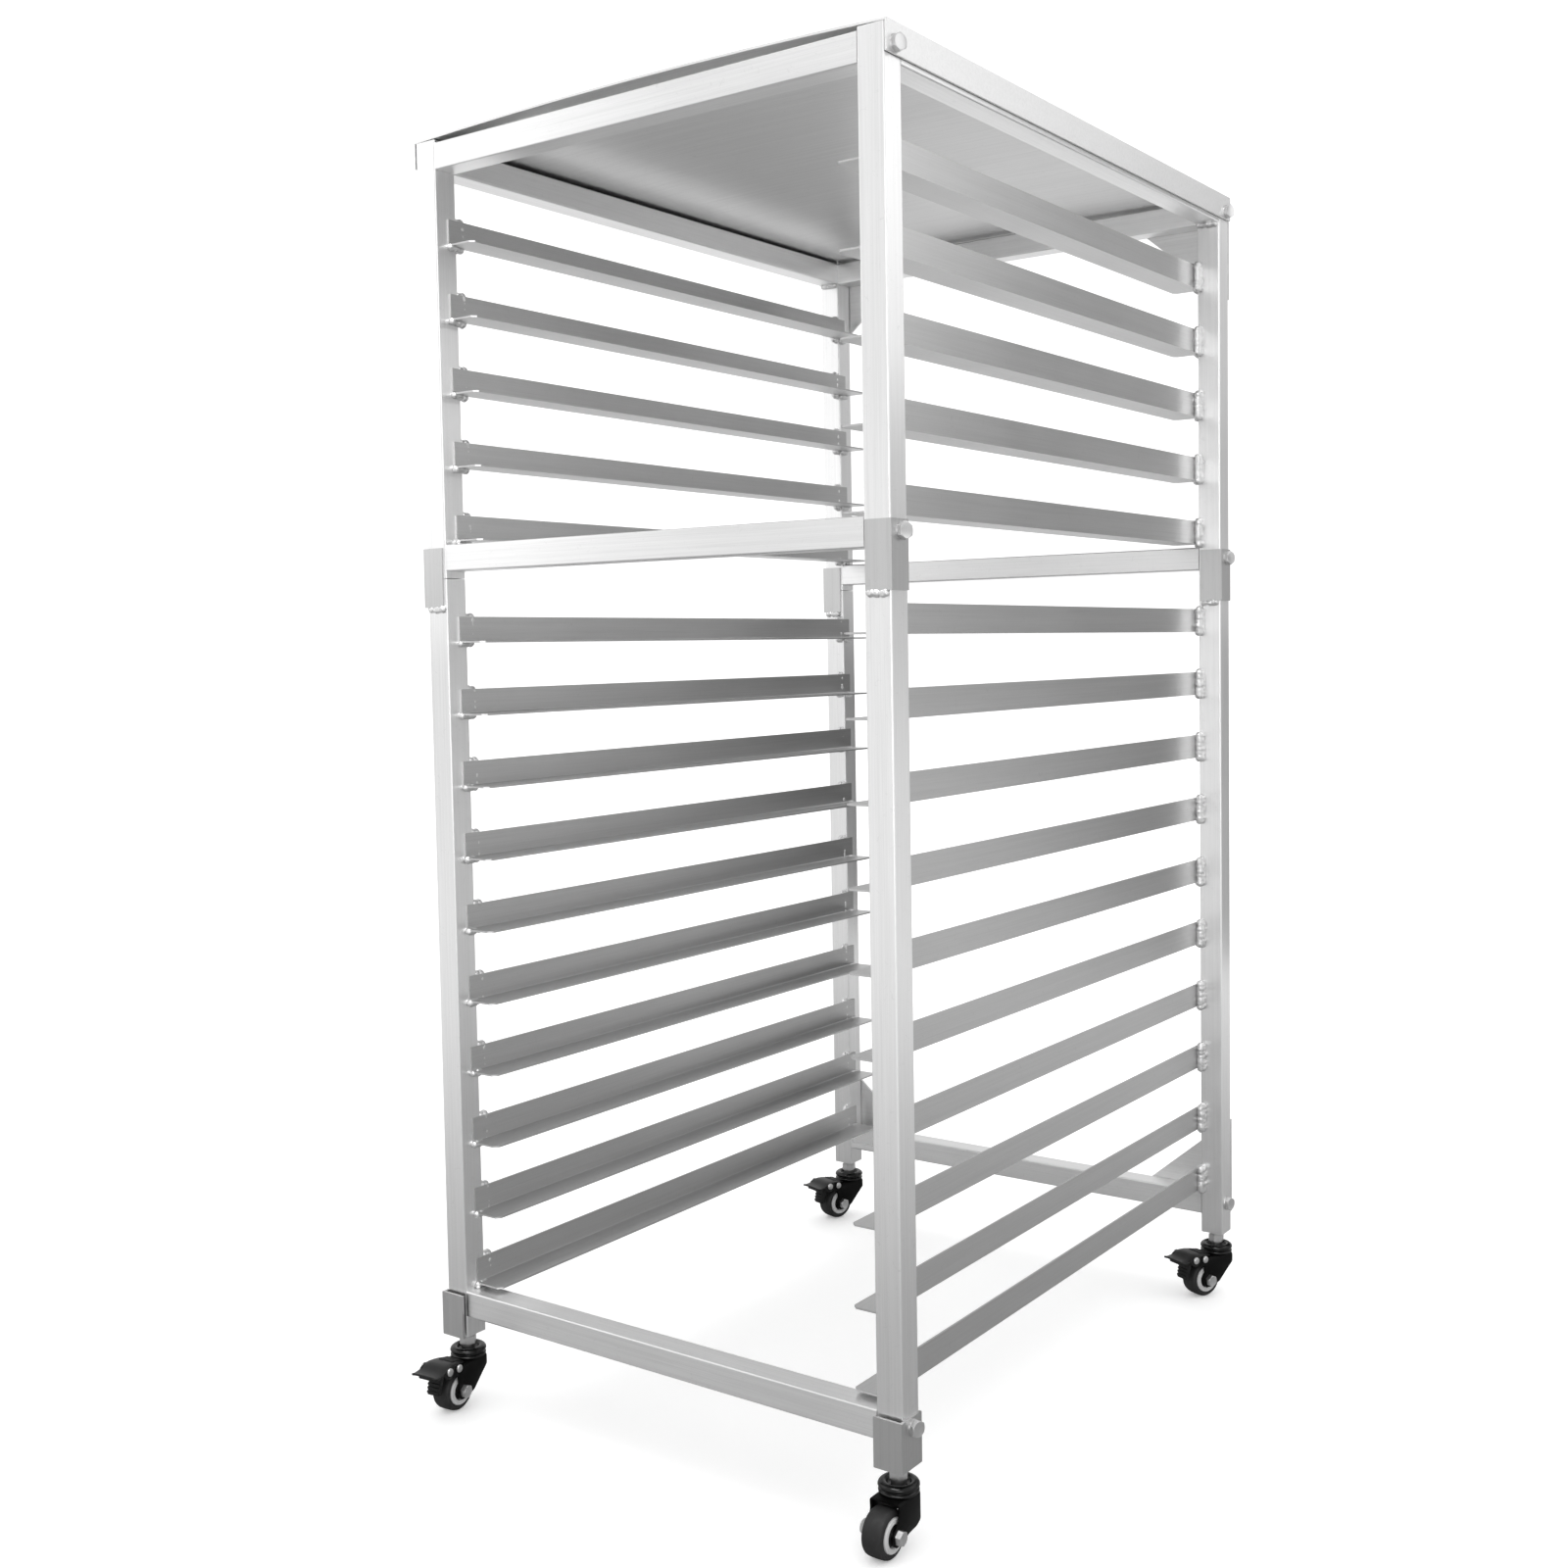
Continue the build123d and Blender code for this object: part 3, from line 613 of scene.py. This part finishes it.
def swivel_rings(mesh, caster):
    """The two pressed rings on top of the fork, with a dished middle round the stem."""
    z = caster.top
    lower_ring = [(13.0, -1), (14.6, -0.4), (16.2, 0.2), (17.0, 1.0), (17.1, 1.9), (16.4, 2.8), (15.3, 3.3)]
    upper_ring = [(15.1, 3.8), (15.9, 4.2), (16.9, 4.8), (17.4, 5.8), (17.3, 6.9), (16.6, 8.1), (15.4, 9.0)]
    lip = [(13.9, 9.5), (12.5, 9.6), (11.3, 9.3), (10.5, 8.6), (10.0, 7.6), (9.6, 6.5)]
    dish = [(8.6, 6.1), (5.4, 6.1), (5.4, -1)]
    profile = [(r, z + up) for r, up in lower_ring + upper_ring + lip + dish]
    lathe(mesh, profile, closed=True)


def ears(mesh, caster):
    """The two ears that carry the pedal's pin."""
    y, z = caster.pin
    front = [(y - 4.2, z - 4.6, 4), (y - 3.4, z + 2.2, 3.4), (y + 9, z + 2.9, 3)]
    root = [(-24, z - 2.2, 2), (-24, z - 10, 2), (y + 2, z - 8.0, 6)]
    outline = rounded(front + root)
    for side in (-1, 1):
        slab(mesh, outline, side * (FORK_HALF - SHEET + 0.05), side * (FORK_HALF - 0.05))


def build_fork(caster):
    """The fork, cut to its side view, and its swivel rings as a second piece."""
    shell = fork_shell(caster)
    cutter_mesh = bmesh.new()
    slab(cutter_mesh, rounded(fork_outline(caster)), -30.0, 30.0)
    cutter = bare_object("fork_cutter", cutter_mesh)
    cut = shell.modifiers.new("side_cut", "BOOLEAN")
    cut.operation = "INTERSECT"
    cut.solver = "EXACT"
    cut.object = cutter
    bake(shell)
    bpy.data.objects.remove(cutter)
    mesh = bmesh.new()
    mesh.from_mesh(shell.data)
    bpy.data.objects.remove(shell)
    bmesh.ops.dissolve_limit(mesh, angle_limit=math.radians(1.0), verts=mesh.verts, edges=mesh.edges)
    if caster.brake:
        ears(mesh, caster)
    mesh.transform(caster.place)
    fork = bare_object("fork_" + caster.corner, mesh)
    body = "swivel_" + caster.corner
    finish(fork, body, ["caster_fork_" + caster.corner], [BLACK_PAINT], bevel=0.35)
    mesh = bmesh.new()
    swivel_rings(mesh, caster)
    mesh.transform(caster.place)
    rings = bare_object("swivel_rings_" + caster.corner, mesh)
    finish(rings, body, [], [RING_PAINT], sharp=60)


def rivet_shape():
    """A domed rivet head, drawn on Z in millimetres."""
    mesh = bmesh.new()
    lathe(mesh, [(0, 0), (3.7, 0), (3.8, 0.9), (3.5, 1.5), (2.8, 1.85), (1.4, 2.0), (0, 2.05)], steps=28)
    return mesh


def side_spots(caster, marks):
    """Where copies stand on both sides of a fork: marks are (X, Y, Z) on the right side."""
    spots = []
    for x, y, z in marks:
        for side in (-1, 1):
            place = caster.place @ Vector((side * x, y, z))
            spots.append((place, (0.0, side * math.pi / 2, caster.turn)))
    return spots


def build_rivets(caster):
    """The rivet heads on the ends of the pedal's pin and of the pin behind it."""
    y, z = caster.pin
    spots = side_spots(caster, [(FORK_HALF + 1.1, y, z), (FORK_HALF, y + 14.5, z - 1.7)])
    rivets = stand_copies("rivets_" + caster.corner, rivet_shape(), spots, ZINC)
    finish(rivets, "swivel_" + caster.corner)


def stem_shape(caster):
    """Collar, turned hexagon and neck under the post, and the black riveted end inside the fork."""
    mesh = bmesh.new()
    z = caster.top
    collar = [(0, 12), (6.2, 12), (6.9, 18.6), (7.2, 19.2), (7.2, 22.6), (6.8, 23), (0, 23)]
    neck = [(0, 6.4), (6.2, 6.4), (6.6, 6.8), (6.6, 11.4), (0, 11.4)]
    head = [(0, -4.4), (5.6, -4.4), (7.1, -4.0), (7.5, -3.2), (7.5, -2.6)]
    head += [(STEM_R, -2.6), (STEM_R, 7), (0, 7)]
    lathe(mesh, [(r, z + up) for r, up in collar], steps=40)
    turned = Matrix.Translation((0, 0, z + 19)) @ Matrix.Rotation(math.pi, 4, "X")
    hex_head(mesh, STEM_HEX_FLATS, STEM_HEX_HEIGHT, turned)
    lathe(mesh, [(r, z + up) for r, up in neck], steps=40)
    for face in lathe(mesh, [(r, z + up) for r, up in head], steps=40):
        face.material_index = 1
    mesh.transform(caster.place)
    return mesh


def build_stems(casters):
    """All four stems as one piece."""
    stems = bmesh.new()
    for caster in casters:
        shape = stem_shape(caster)
        loose = bpy.data.meshes.new("loose_stem")
        shape.to_mesh(loose)
        shape.free()
        stems.from_mesh(loose)
        bpy.data.meshes.remove(loose)
    piece = bare_object("stems", stems)
    finish(piece, "root", ["caster_stems"], [ZINC, BLACK_PAINT], sharp=25)


def build_axle(caster):
    """A pin through the hub with a hexagon head on each side."""
    mesh = bmesh.new()
    turned = caster.wheel_place()
    reach = FORK_HALF + 1
    lathe(mesh, [(0, -reach), (AXLE_R, -reach), (AXLE_R, reach), (0, reach)], steps=32, place=turned)
    twist = Matrix.Rotation(math.radians(8), 4, "Z")
    for side in (-1, 1):
        outward = Matrix.Rotation(0 if side > 0 else math.pi, 4, "X")
        seat = turned @ Matrix.Translation((0, 0, side * FORK_HALF)) @ outward
        hex_head(mesh, AXLE_HEAD_FLATS, AXLE_HEAD_HEIGHT, seat @ twist, dish=0.25)
    mesh.transform(caster.place)
    axle = bare_object("axle_bolt_" + caster.corner, mesh)
    finish(axle, "swivel_" + caster.corner, ["caster_axle_" + caster.corner], [ZINC], sharp=25)


def build_wheel(caster):
    """The tyre, and the wheel's centre with a pale ring and a dark hub on both sides."""
    turned = caster.wheel_place()
    body = "wheel_" + caster.corner
    mesh = bmesh.new()
    half = [(14.4, 9.2), (15.6, 9.9), (17.0, 9.9), (18.3, 9.3), (19.2, 8.2)]
    half += [(19.7, 6.6), (19.9, 4.0), (20.0, 0.0)]
    outside = [(r, x) for r, x in half] + [(r, -x) for r, x in reversed(half[:-1])]
    lathe(mesh, outside + [(14.2, -9.0), (14.2, 9.0)], steps=96, closed=True, place=turned)
    mesh.transform(caster.place)
    tread = bare_object("tyre_" + caster.corner, mesh)
    finish(tread, body, ["caster_tread_" + caster.corner], [TREAD])
    mesh = bmesh.new()
    ring = [(14.4, 9.4), (14.1, 10.4), (13.6, 11.1), (12.4, 11.2), (12.0, 10.8), (11.6, 11.2), (10.2, 11.2)]
    ring += [(9.7, 10.9), (9.4, 10.2), (9.1, 7.9)]
    centre = [(7.9, 7.7), (7.6, 10.4), (7.2, 10.9), (3.2, 10.9), (3.06, 10.6)]
    for side in (-1, 1):
        lathe(mesh, [(r, side * x) for r, x in ring], steps=72, place=turned)
        for face in lathe(mesh, [(r, side * x) for r, x in ring[-1:] + centre], steps=72, place=turned):
            face.material_index = 1
    for face in lathe(mesh, [(3.06, -10.6), (3.06, 10.6)], steps=72, place=turned):
        face.material_index = 1
    lathe(mesh, [(14.4, -9.4), (14.4, 9.4)], steps=72, place=turned)
    bmesh.ops.remove_doubles(mesh, verts=mesh.verts, dist=0.001)
    mesh.transform(caster.place)
    rim = bare_object("wheel_centre_" + caster.corner, mesh)
    finish(rim, body, ["caster_rim_" + caster.corner], [RING_GREY, BLACK_PLASTIC], sharp=50)


def pedal_plate(mesh):
    """The pressed plate from the fork out to the lip, crowned across and thin.

    Each station along it is (Y, height of the crown, half its width, thickness).
    """
    stations = [(-19.0, 47.4, 10.5, 1.2), (-23.0, 48.4, 12.6, 1.2), (-28.0, 49.5, 13.9, 1.2)]
    stations += [(-35.0, 50.6, 14.6, 1.2), (-41.0, 50.9, 14.9, 1.2), (-45.5, 50.5, 15.0, 1.2)]
    stations += [(-48.6, 49.3, 15.1, 1.2), (-51.0, 48.0, 15.2, 1.4), (-54.0, 47.0, 15.4, 1.6)]
    stations += [(-60.0, 46.4, 15.5, 1.8), (-63.6, 47.3, 15.4, 2.2), (-64.4, 46.9, 14.8, 1.5)]
    across = [i / 6 for i in range(-6, 7)]
    rows = []
    for y, z, half, thick in stations:
        upper = [mesh.verts.new((half * t, y, z - 0.8 * t ** 4)) for t in across]
        lower = [mesh.verts.new((half * t * 0.985, y, z - thick - 0.8 * t ** 4)) for t in reversed(across)]
        rows.append(upper + lower)
    for first, second in zip(rows, rows[1:]):
        for i in range(len(first)):
            mesh.faces.new((first[i - 1], first[i], second[i], second[i - 1]))
    mesh.faces.new(rows[0])
    mesh.faces.new(rows[-1][::-1])


def pedal_tabs(mesh, caster):
    """Round tabs outside the ears, on the pin."""
    y, z = caster.pin
    round_end = [math.radians(a) for a in range(170, 385, 10)]
    outline = [(y + TAB_R * math.cos(a), z + TAB_R * math.sin(a)) for a in round_end]
    outline += [(y + 7.4, z + 3.6), (y + 0.5, z + 3.5), (y - 4.0, z + 2.4)]
    for side in (-1, 1):
        slab(mesh, outline, side * (FORK_HALF + 0.08), side * (FORK_HALF + 1.0))


def brake_shoe(mesh):
    """The shoe in front of the tyre, with ridges across its face, and the stop under the lip."""
    ridges = []
    for i in range(4):
        z = 38.0 - 3.6 * i
        front = -50.8 - 0.7 * i
        ridges += [(front, z), (front - 0.2, z - 1.9), (front + 0.9, z - 2.3), (front + 0.7, z - 3.3)]
    back = [(-52.2, 23.2), (-47.8, 23.4), (-47.0, 30.0), (-44.4, 37.5), (-39.0, 43.0)]
    slab(mesh, [(-38, 50.0), (-47.5, 49.2), (-50.6, 44.0)] + ridges + back, -7.0, 7.0)
    stop = [(-54.2, 46.8, 0), (-62.0, 45.6, 1), (-62.6, 42.4, 1), (-57.6, 41.2, 1)]
    stop += [(-56.2, 43.4, 0.6), (-53.6, 43.6, 0)]
    slab(mesh, rounded(stop), -8.0, 8.0)


def build_pedal(caster):
    """The brake pedal with its shoe, and the grip ribs across its plate."""
    mesh = bmesh.new()
    pedal_plate(mesh)
    pedal_tabs(mesh, caster)
    brake_shoe(mesh)
    mesh.transform(caster.place)
    pedal = bare_object("pedal_" + caster.corner, mesh)
    body = "pedal_" + caster.corner
    finish(pedal, body, ["brake_pedal_" + caster.corner], [PEDAL_PAINT], bevel=0.3)
    rib = bmesh.new()
    slab(rib, rounded([(-0.8, -0.6, 0), (0.8, -0.6, 0), (0.5, 0.6, 0.3), (-0.5, 0.6, 0.3)], 3), -8.5, 8.5)
    lines = [(0, -22.0 - 2.6 * i, 48.4 + 0.51 * i) for i in range(5)]
    spots = [(caster.place @ Vector(p), (math.radians(-11), 0.0, caster.turn)) for p in lines]
    grip = stand_copies("pedal_grip_" + caster.corner, rib, spots, PEDAL_PAINT)
    finish(grip, body)


CASTERS = [Caster(corner) for corner in CORNERS]
for caster in CASTERS:
    build_fork(caster)
    build_axle(caster)
    build_wheel(caster)
    if caster.brake:
        build_rivets(caster)
        build_pedal(caster)
build_stems(CASTERS)


# ---- Frame bolts and welds ----------------------------------------------------------------

BOLT_HEAD_FLATS = 13.0      # millimetres
BOLT_HEAD_HEIGHT = 5.0


def bolt_shape():
    """A bolt's hexagon head, drawn on Z in millimetres."""
    mesh = bmesh.new()
    hex_head(mesh, BOLT_HEAD_FLATS, BOLT_HEAD_HEIGHT, dish=0.2)
    return mesh


def islands(node):
    """The box of each separate solid in a node, as (low, high) corners."""
    mesh = bmesh.new()
    mesh.from_mesh(NODES[node].data)
    bmesh.ops.remove_doubles(mesh, verts=mesh.verts, dist=0.00001)
    boxes = []
    unseen = set(mesh.verts)
    while unseen:
        group = []
        queue = [unseen.pop()]
        while queue:
            vertex = queue.pop()
            group.append(vertex.co.copy())
            for edge in vertex.link_edges:
                other = edge.other_vert(vertex)
                if other in unseen:
                    unseen.remove(other)
                    queue.append(other)
        boxes.append(tuple(Vector([pick(p[i] for p in group) for i in range(3)]) for pick in (min, max)))
    mesh.free()
    return sorted(boxes, key=lambda b: tuple(round(v, 4) for v in b[0]))


def bolt_spots():
    """The bolts' heads, from the washers they bear on."""
    spots = []
    for low, high in islands("frame_washers"):
        side = 1 if low.x > CENTRE.x else -1
        middle = (low + high) / 2
        seat = high.x if side > 0 else low.x
        spots.append((Vector((seat, middle.y, middle.z)), (math.radians(14), side * math.pi / 2, 0.0)))
    return spots


heads = stand_copies("bolt_heads", bolt_shape(), bolt_spots(), ZINC)
finish(heads, "root", ["frame_bolts"], sharp=25)


def post_box(side_x, side_y):
    """The box of the lower post on that side in X and in Y."""
    name = "lower_post_" + ("front" if side_y < 0 else "rear") + ("_left" if side_x < 0 else "_right")
    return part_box(name)


# The runs of one side bead: how far out from the slide's flange, and how far from the post's edge.
SIDE_BEADS = ((0.0032, 0.0022), (0.0026, 0.0066))


def slide_welds():
    """Beads that hold each slide's ends to the posts: a tall one outside and a short one below."""
    tall, short = [], []
    for name in NODES:
        if not name.startswith("pan_slides"):
            continue
        low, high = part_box(name)
        for side_x in (-1, 1):
            face = high.x if side_x > 0 else low.x
            for side_y in (-1, 1):
                post_low, post_high = post_box(side_x, side_y)
                edge = post_low.y if side_y > 0 else post_high.y
                for out, away in SIDE_BEADS:
                    x = face + side_x * out
                    y = edge - side_y * away
                    tall.append(((x, y, low.z - 0.0005), (x, y, high.z - 0.0005)))
                x = face - side_x * 0.0022
                y = edge + side_y * 0.0100
                short.append(((x, y - side_y * 0.008, low.z - 0.0008), (x, y, low.z - 0.0008)))
    return tall, short


def frame_welds():
    """Beads under the splice angles and between the side tubes and the rear posts."""
    lines = []
    for low, high in islands("splice_angles"):
        side = 1 if low.x > CENTRE.x else -1
        inner = low.x if side > 0 else high.x
        outer = high.x if side > 0 else low.x
        y = low.y + 0.0022
        lines.append(((inner + side * 0.003, y, low.z - 0.0018), (outer - side * 0.007, y, low.z - 0.0018)))
    for side, name in ((-1, "top_side_tube_left"), (1, "top_side_tube_right")):
        low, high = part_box(name)
        post_low, post_high = post_box(side, 1)
        y = post_low.y - 0.0012
        lines.append(((low.x + 0.003, y, low.z - 0.0008), (high.x - 0.004, y, low.z - 0.0008)))
    return lines


def run_welds(name, lines, **values):
    """One weld piece from a list of straight runs."""
    points = [p for line in lines for p in line]
    mesh = bpy.data.meshes.new(name)
    mesh.from_pydata(points, [(2 * i, 2 * i + 1) for i in range(len(lines))], [])
    holder = bpy.data.objects.new(name, mesh)
    bpy.context.scene.collection.objects.link(holder)
    grow(holder, WELD_BEADS, Finish=WELD, **values)
    finish(holder, "root", sharp=180)


SIDE_BEAD = {"Radius": 0.0040, "Spacing": 0.0014, "Wander": 0.0004, "Ripple": 0.00015}
LEDGE_BEAD = {"Radius": 0.0034, "Spacing": 0.0024, "Wander": 0.0007, "Ripple": 0.0003}
FRAME_BEAD = {"Radius": 0.0036, "Spacing": 0.0026, "Wander": 0.0010, "Ripple": 0.0005}
side_runs, ledge_runs = slide_welds()
run_welds("slide_side_welds", side_runs, Seed=5, **SIDE_BEAD)
run_welds("slide_ledge_welds", ledge_runs, Seed=8, **LEDGE_BEAD)
run_welds("frame_welds", frame_welds(), Seed=12, **FRAME_BEAD)


# ---- Studio -------------------------------------------------------------------------------

def camera():
    """Standing in front of the nearest post, a little over half the rack's height."""
    data = bpy.data.cameras.new("studio_camera")
    data.sensor_width = 36.0
    data.lens = 39.79
    data.shift_x = -0.0087
    data.shift_y = -0.0258
    data.clip_end = 50.0
    spot = bpy.data.objects.new("studio_camera", data)
    bpy.context.scene.collection.objects.link(spot)
    yaw, pitch, roll = (math.radians(a) for a in (35.628, -3.163, -0.967))
    turn = Matrix.Rotation(yaw, 4, "Z") @ Matrix.Rotation(math.pi / 2 + pitch, 4, "X")
    turn = turn @ Matrix.Rotation(roll, 4, "Z")
    stand = CENTRE + Vector((0.99045, -1.49282, 0.7302))
    spot.matrix_world = Matrix.Translation(stand) @ turn
    bpy.context.scene.camera = spot


def floor():
    """A wide pale floor. It looks white, and lights the rack less close by than further out, because its
    colour near the rack is painted darker as shade.
    """
    mesh = bpy.data.meshes.new("studio_floor")
    reach = 14.0
    corners = [(-reach, -reach, 0), (reach, -reach, 0), (reach, reach, 0), (-reach, reach, 0)]
    mesh.from_pydata(corners, [], [(0, 1, 2, 3)])
    board = bpy.data.objects.new("studio_floor", mesh)
    bpy.context.scene.collection.objects.link(board)
    material, tree, shader, vector = new_material("pale_floor")
    grain = add_node(tree, "ShaderNodeTexNoise", Scale=30.0, Detail=2.0)
    tree.links.new(vector, grain.inputs["Vector"])
    tree.links.new(remap(tree, grain.outputs["Fac"], 0.3, 0.7, 0.62, 0.7), shader.inputs["Roughness"])
    tone = add_node(tree, "ShaderNodeMix", data_type="RGBA")
    away = add_node(tree, "ShaderNodeVectorMath", operation="DISTANCE")
    away.inputs[1].default_value = CENTRE
    tree.links.new(vector, away.inputs[0])
    # Painted shade: to every ray but the camera's, the floor's colour runs from dark close to the rack to
    # pale further out, so less light bounces and reflects from under the rack.
    tree.links.new(remap(tree, away.outputs["Value"], 0.8, 2.4, 0.38, 0.80), tone.inputs["A"])
    tone.inputs["B"].default_value = (0.95, 0.95, 0.95, 1.0)
    seen = tree.nodes.new("ShaderNodeLightPath").outputs["Is Camera Ray"]
    tree.links.new(seen, tone.inputs["Factor"])
    shader.inputs["Emission Color"].default_value = (1.0, 1.0, 1.0, 1.0)
    tree.links.new(math_node(tree, "MULTIPLY", seen, 0.24), shader.inputs["Emission Strength"])
    tree.links.new(tone.outputs["Result"], shader.inputs["Base Color"])
    mesh.materials.append(material)


def card(name, corners, tone, end_tone=None, span=(0.0, 1.0)):
    """A card about the rack's centre that only reflections see.

    With an end tone it grades along X, from the first tone to that one, over the span.
    """
    mesh = bpy.data.meshes.new(name)
    mesh.from_pydata([CENTRE + Vector(corner) for corner in corners], [], [(0, 1, 2, 3)])
    board = bpy.data.objects.new(name, mesh)
    bpy.context.scene.collection.objects.link(board)
    material, tree, shader, vector = new_material(name)
    shader.inputs["Base Color"].default_value = (0.0, 0.0, 0.0, 1.0)
    shader.inputs["Specular IOR Level"].default_value = 0.0
    shader.inputs["Emission Color"].default_value = (1.0, 1.0, 1.0, 1.0)
    shader.inputs["Emission Strength"].default_value = tone
    if end_tone is not None:
        place = tree.nodes.new("ShaderNodeSeparateXYZ")
        tree.links.new(vector, place.inputs[0])
        graded = remap(tree, place.outputs["X"], *span, tone, end_tone)
        tree.links.new(graded, shader.inputs["Emission Strength"])
    mesh.materials.append(material)
    board.visible_camera = False
    board.visible_shadow = False
    board.visible_diffuse = False


def studio():
    """White surroundings that look a little darker in reflections, the floor, the camera and the cards."""
    scene = bpy.context.scene
    world = bpy.data.worlds.new("studio_white")
    scene.world = world
    world.use_nodes = True
    tree = world.node_tree
    background = tree.nodes["Background"]
    background.inputs["Strength"].default_value = 1.0
    direction = tree.nodes.new("ShaderNodeTexCoord").outputs["Generated"]
    height = tree.nodes.new("ShaderNodeSeparateXYZ")
    tree.links.new(direction, height.inputs[0])
    wall = remap(tree, height.outputs["Z"], -0.02, 0.22, 0.66, 0.84)
    paths = tree.nodes.new("ShaderNodeLightPath")
    shade = add_node(tree, "ShaderNodeMix", data_type="FLOAT")
    tree.links.new(paths.outputs["Is Glossy Ray"], shade.inputs["Factor"])
    shade.inputs["A"].default_value = 1.22
    tree.links.new(wall, shade.inputs["B"])
    tree.links.new(shade.outputs["Result"], background.inputs["Color"])
    scene.view_settings.view_transform = "Standard"
    floor()
    camera()
    near = [(-0.02, 1.0, 0.25), (0.85, 1.0, 0.25), (0.85, 1.0, 0.74), (-0.02, 1.0, 0.74)]
    card("rear_low_card", near, 0.03, 0.50, (0.30, 0.80))
    far = [(1.45, 3.0, 0.74), (2.7, 3.0, 0.74), (2.7, 3.0, 1.93), (1.45, 3.0, 1.93)]
    card("rear_far_card", far, 0.0, 0.45, (1.7, 2.7))
    key = [(-2.5, -0.8, 0.80), (-1.35, -1.75, 0.80), (-1.35, -1.75, 2.4), (-2.5, -0.8, 2.4)]
    card("key_card", key, 1.5)
    side = [(1.06, 1.08, 1.15), (2.2, 0.4, 1.15), (2.2, 0.4, 2.4), (1.06, 1.08, 2.4)]
    card("side_card", side, 1.5)
    behind = [(1.3, -3.0, 0.3), (2.5, -2.2, 0.3), (2.5, -2.2, 2.0), (1.3, -3.0, 2.0)]
    card("corner_light_card", behind, 3.0)
    front = [(-1.9, -4.0, 0.3), (-1.0, -4.0, 0.3), (-1.0, -4.0, 1.3), (-1.9, -4.0, 1.3)]
    card("front_card", front, 1.3)
    overhead = [(-0.6, -1.9, 2.5), (1.0, -1.9, 2.5), (1.0, -0.9, 3.0), (-0.6, -0.9, 3.0)]
    card("overhead_card", overhead, 8.0)


studio()
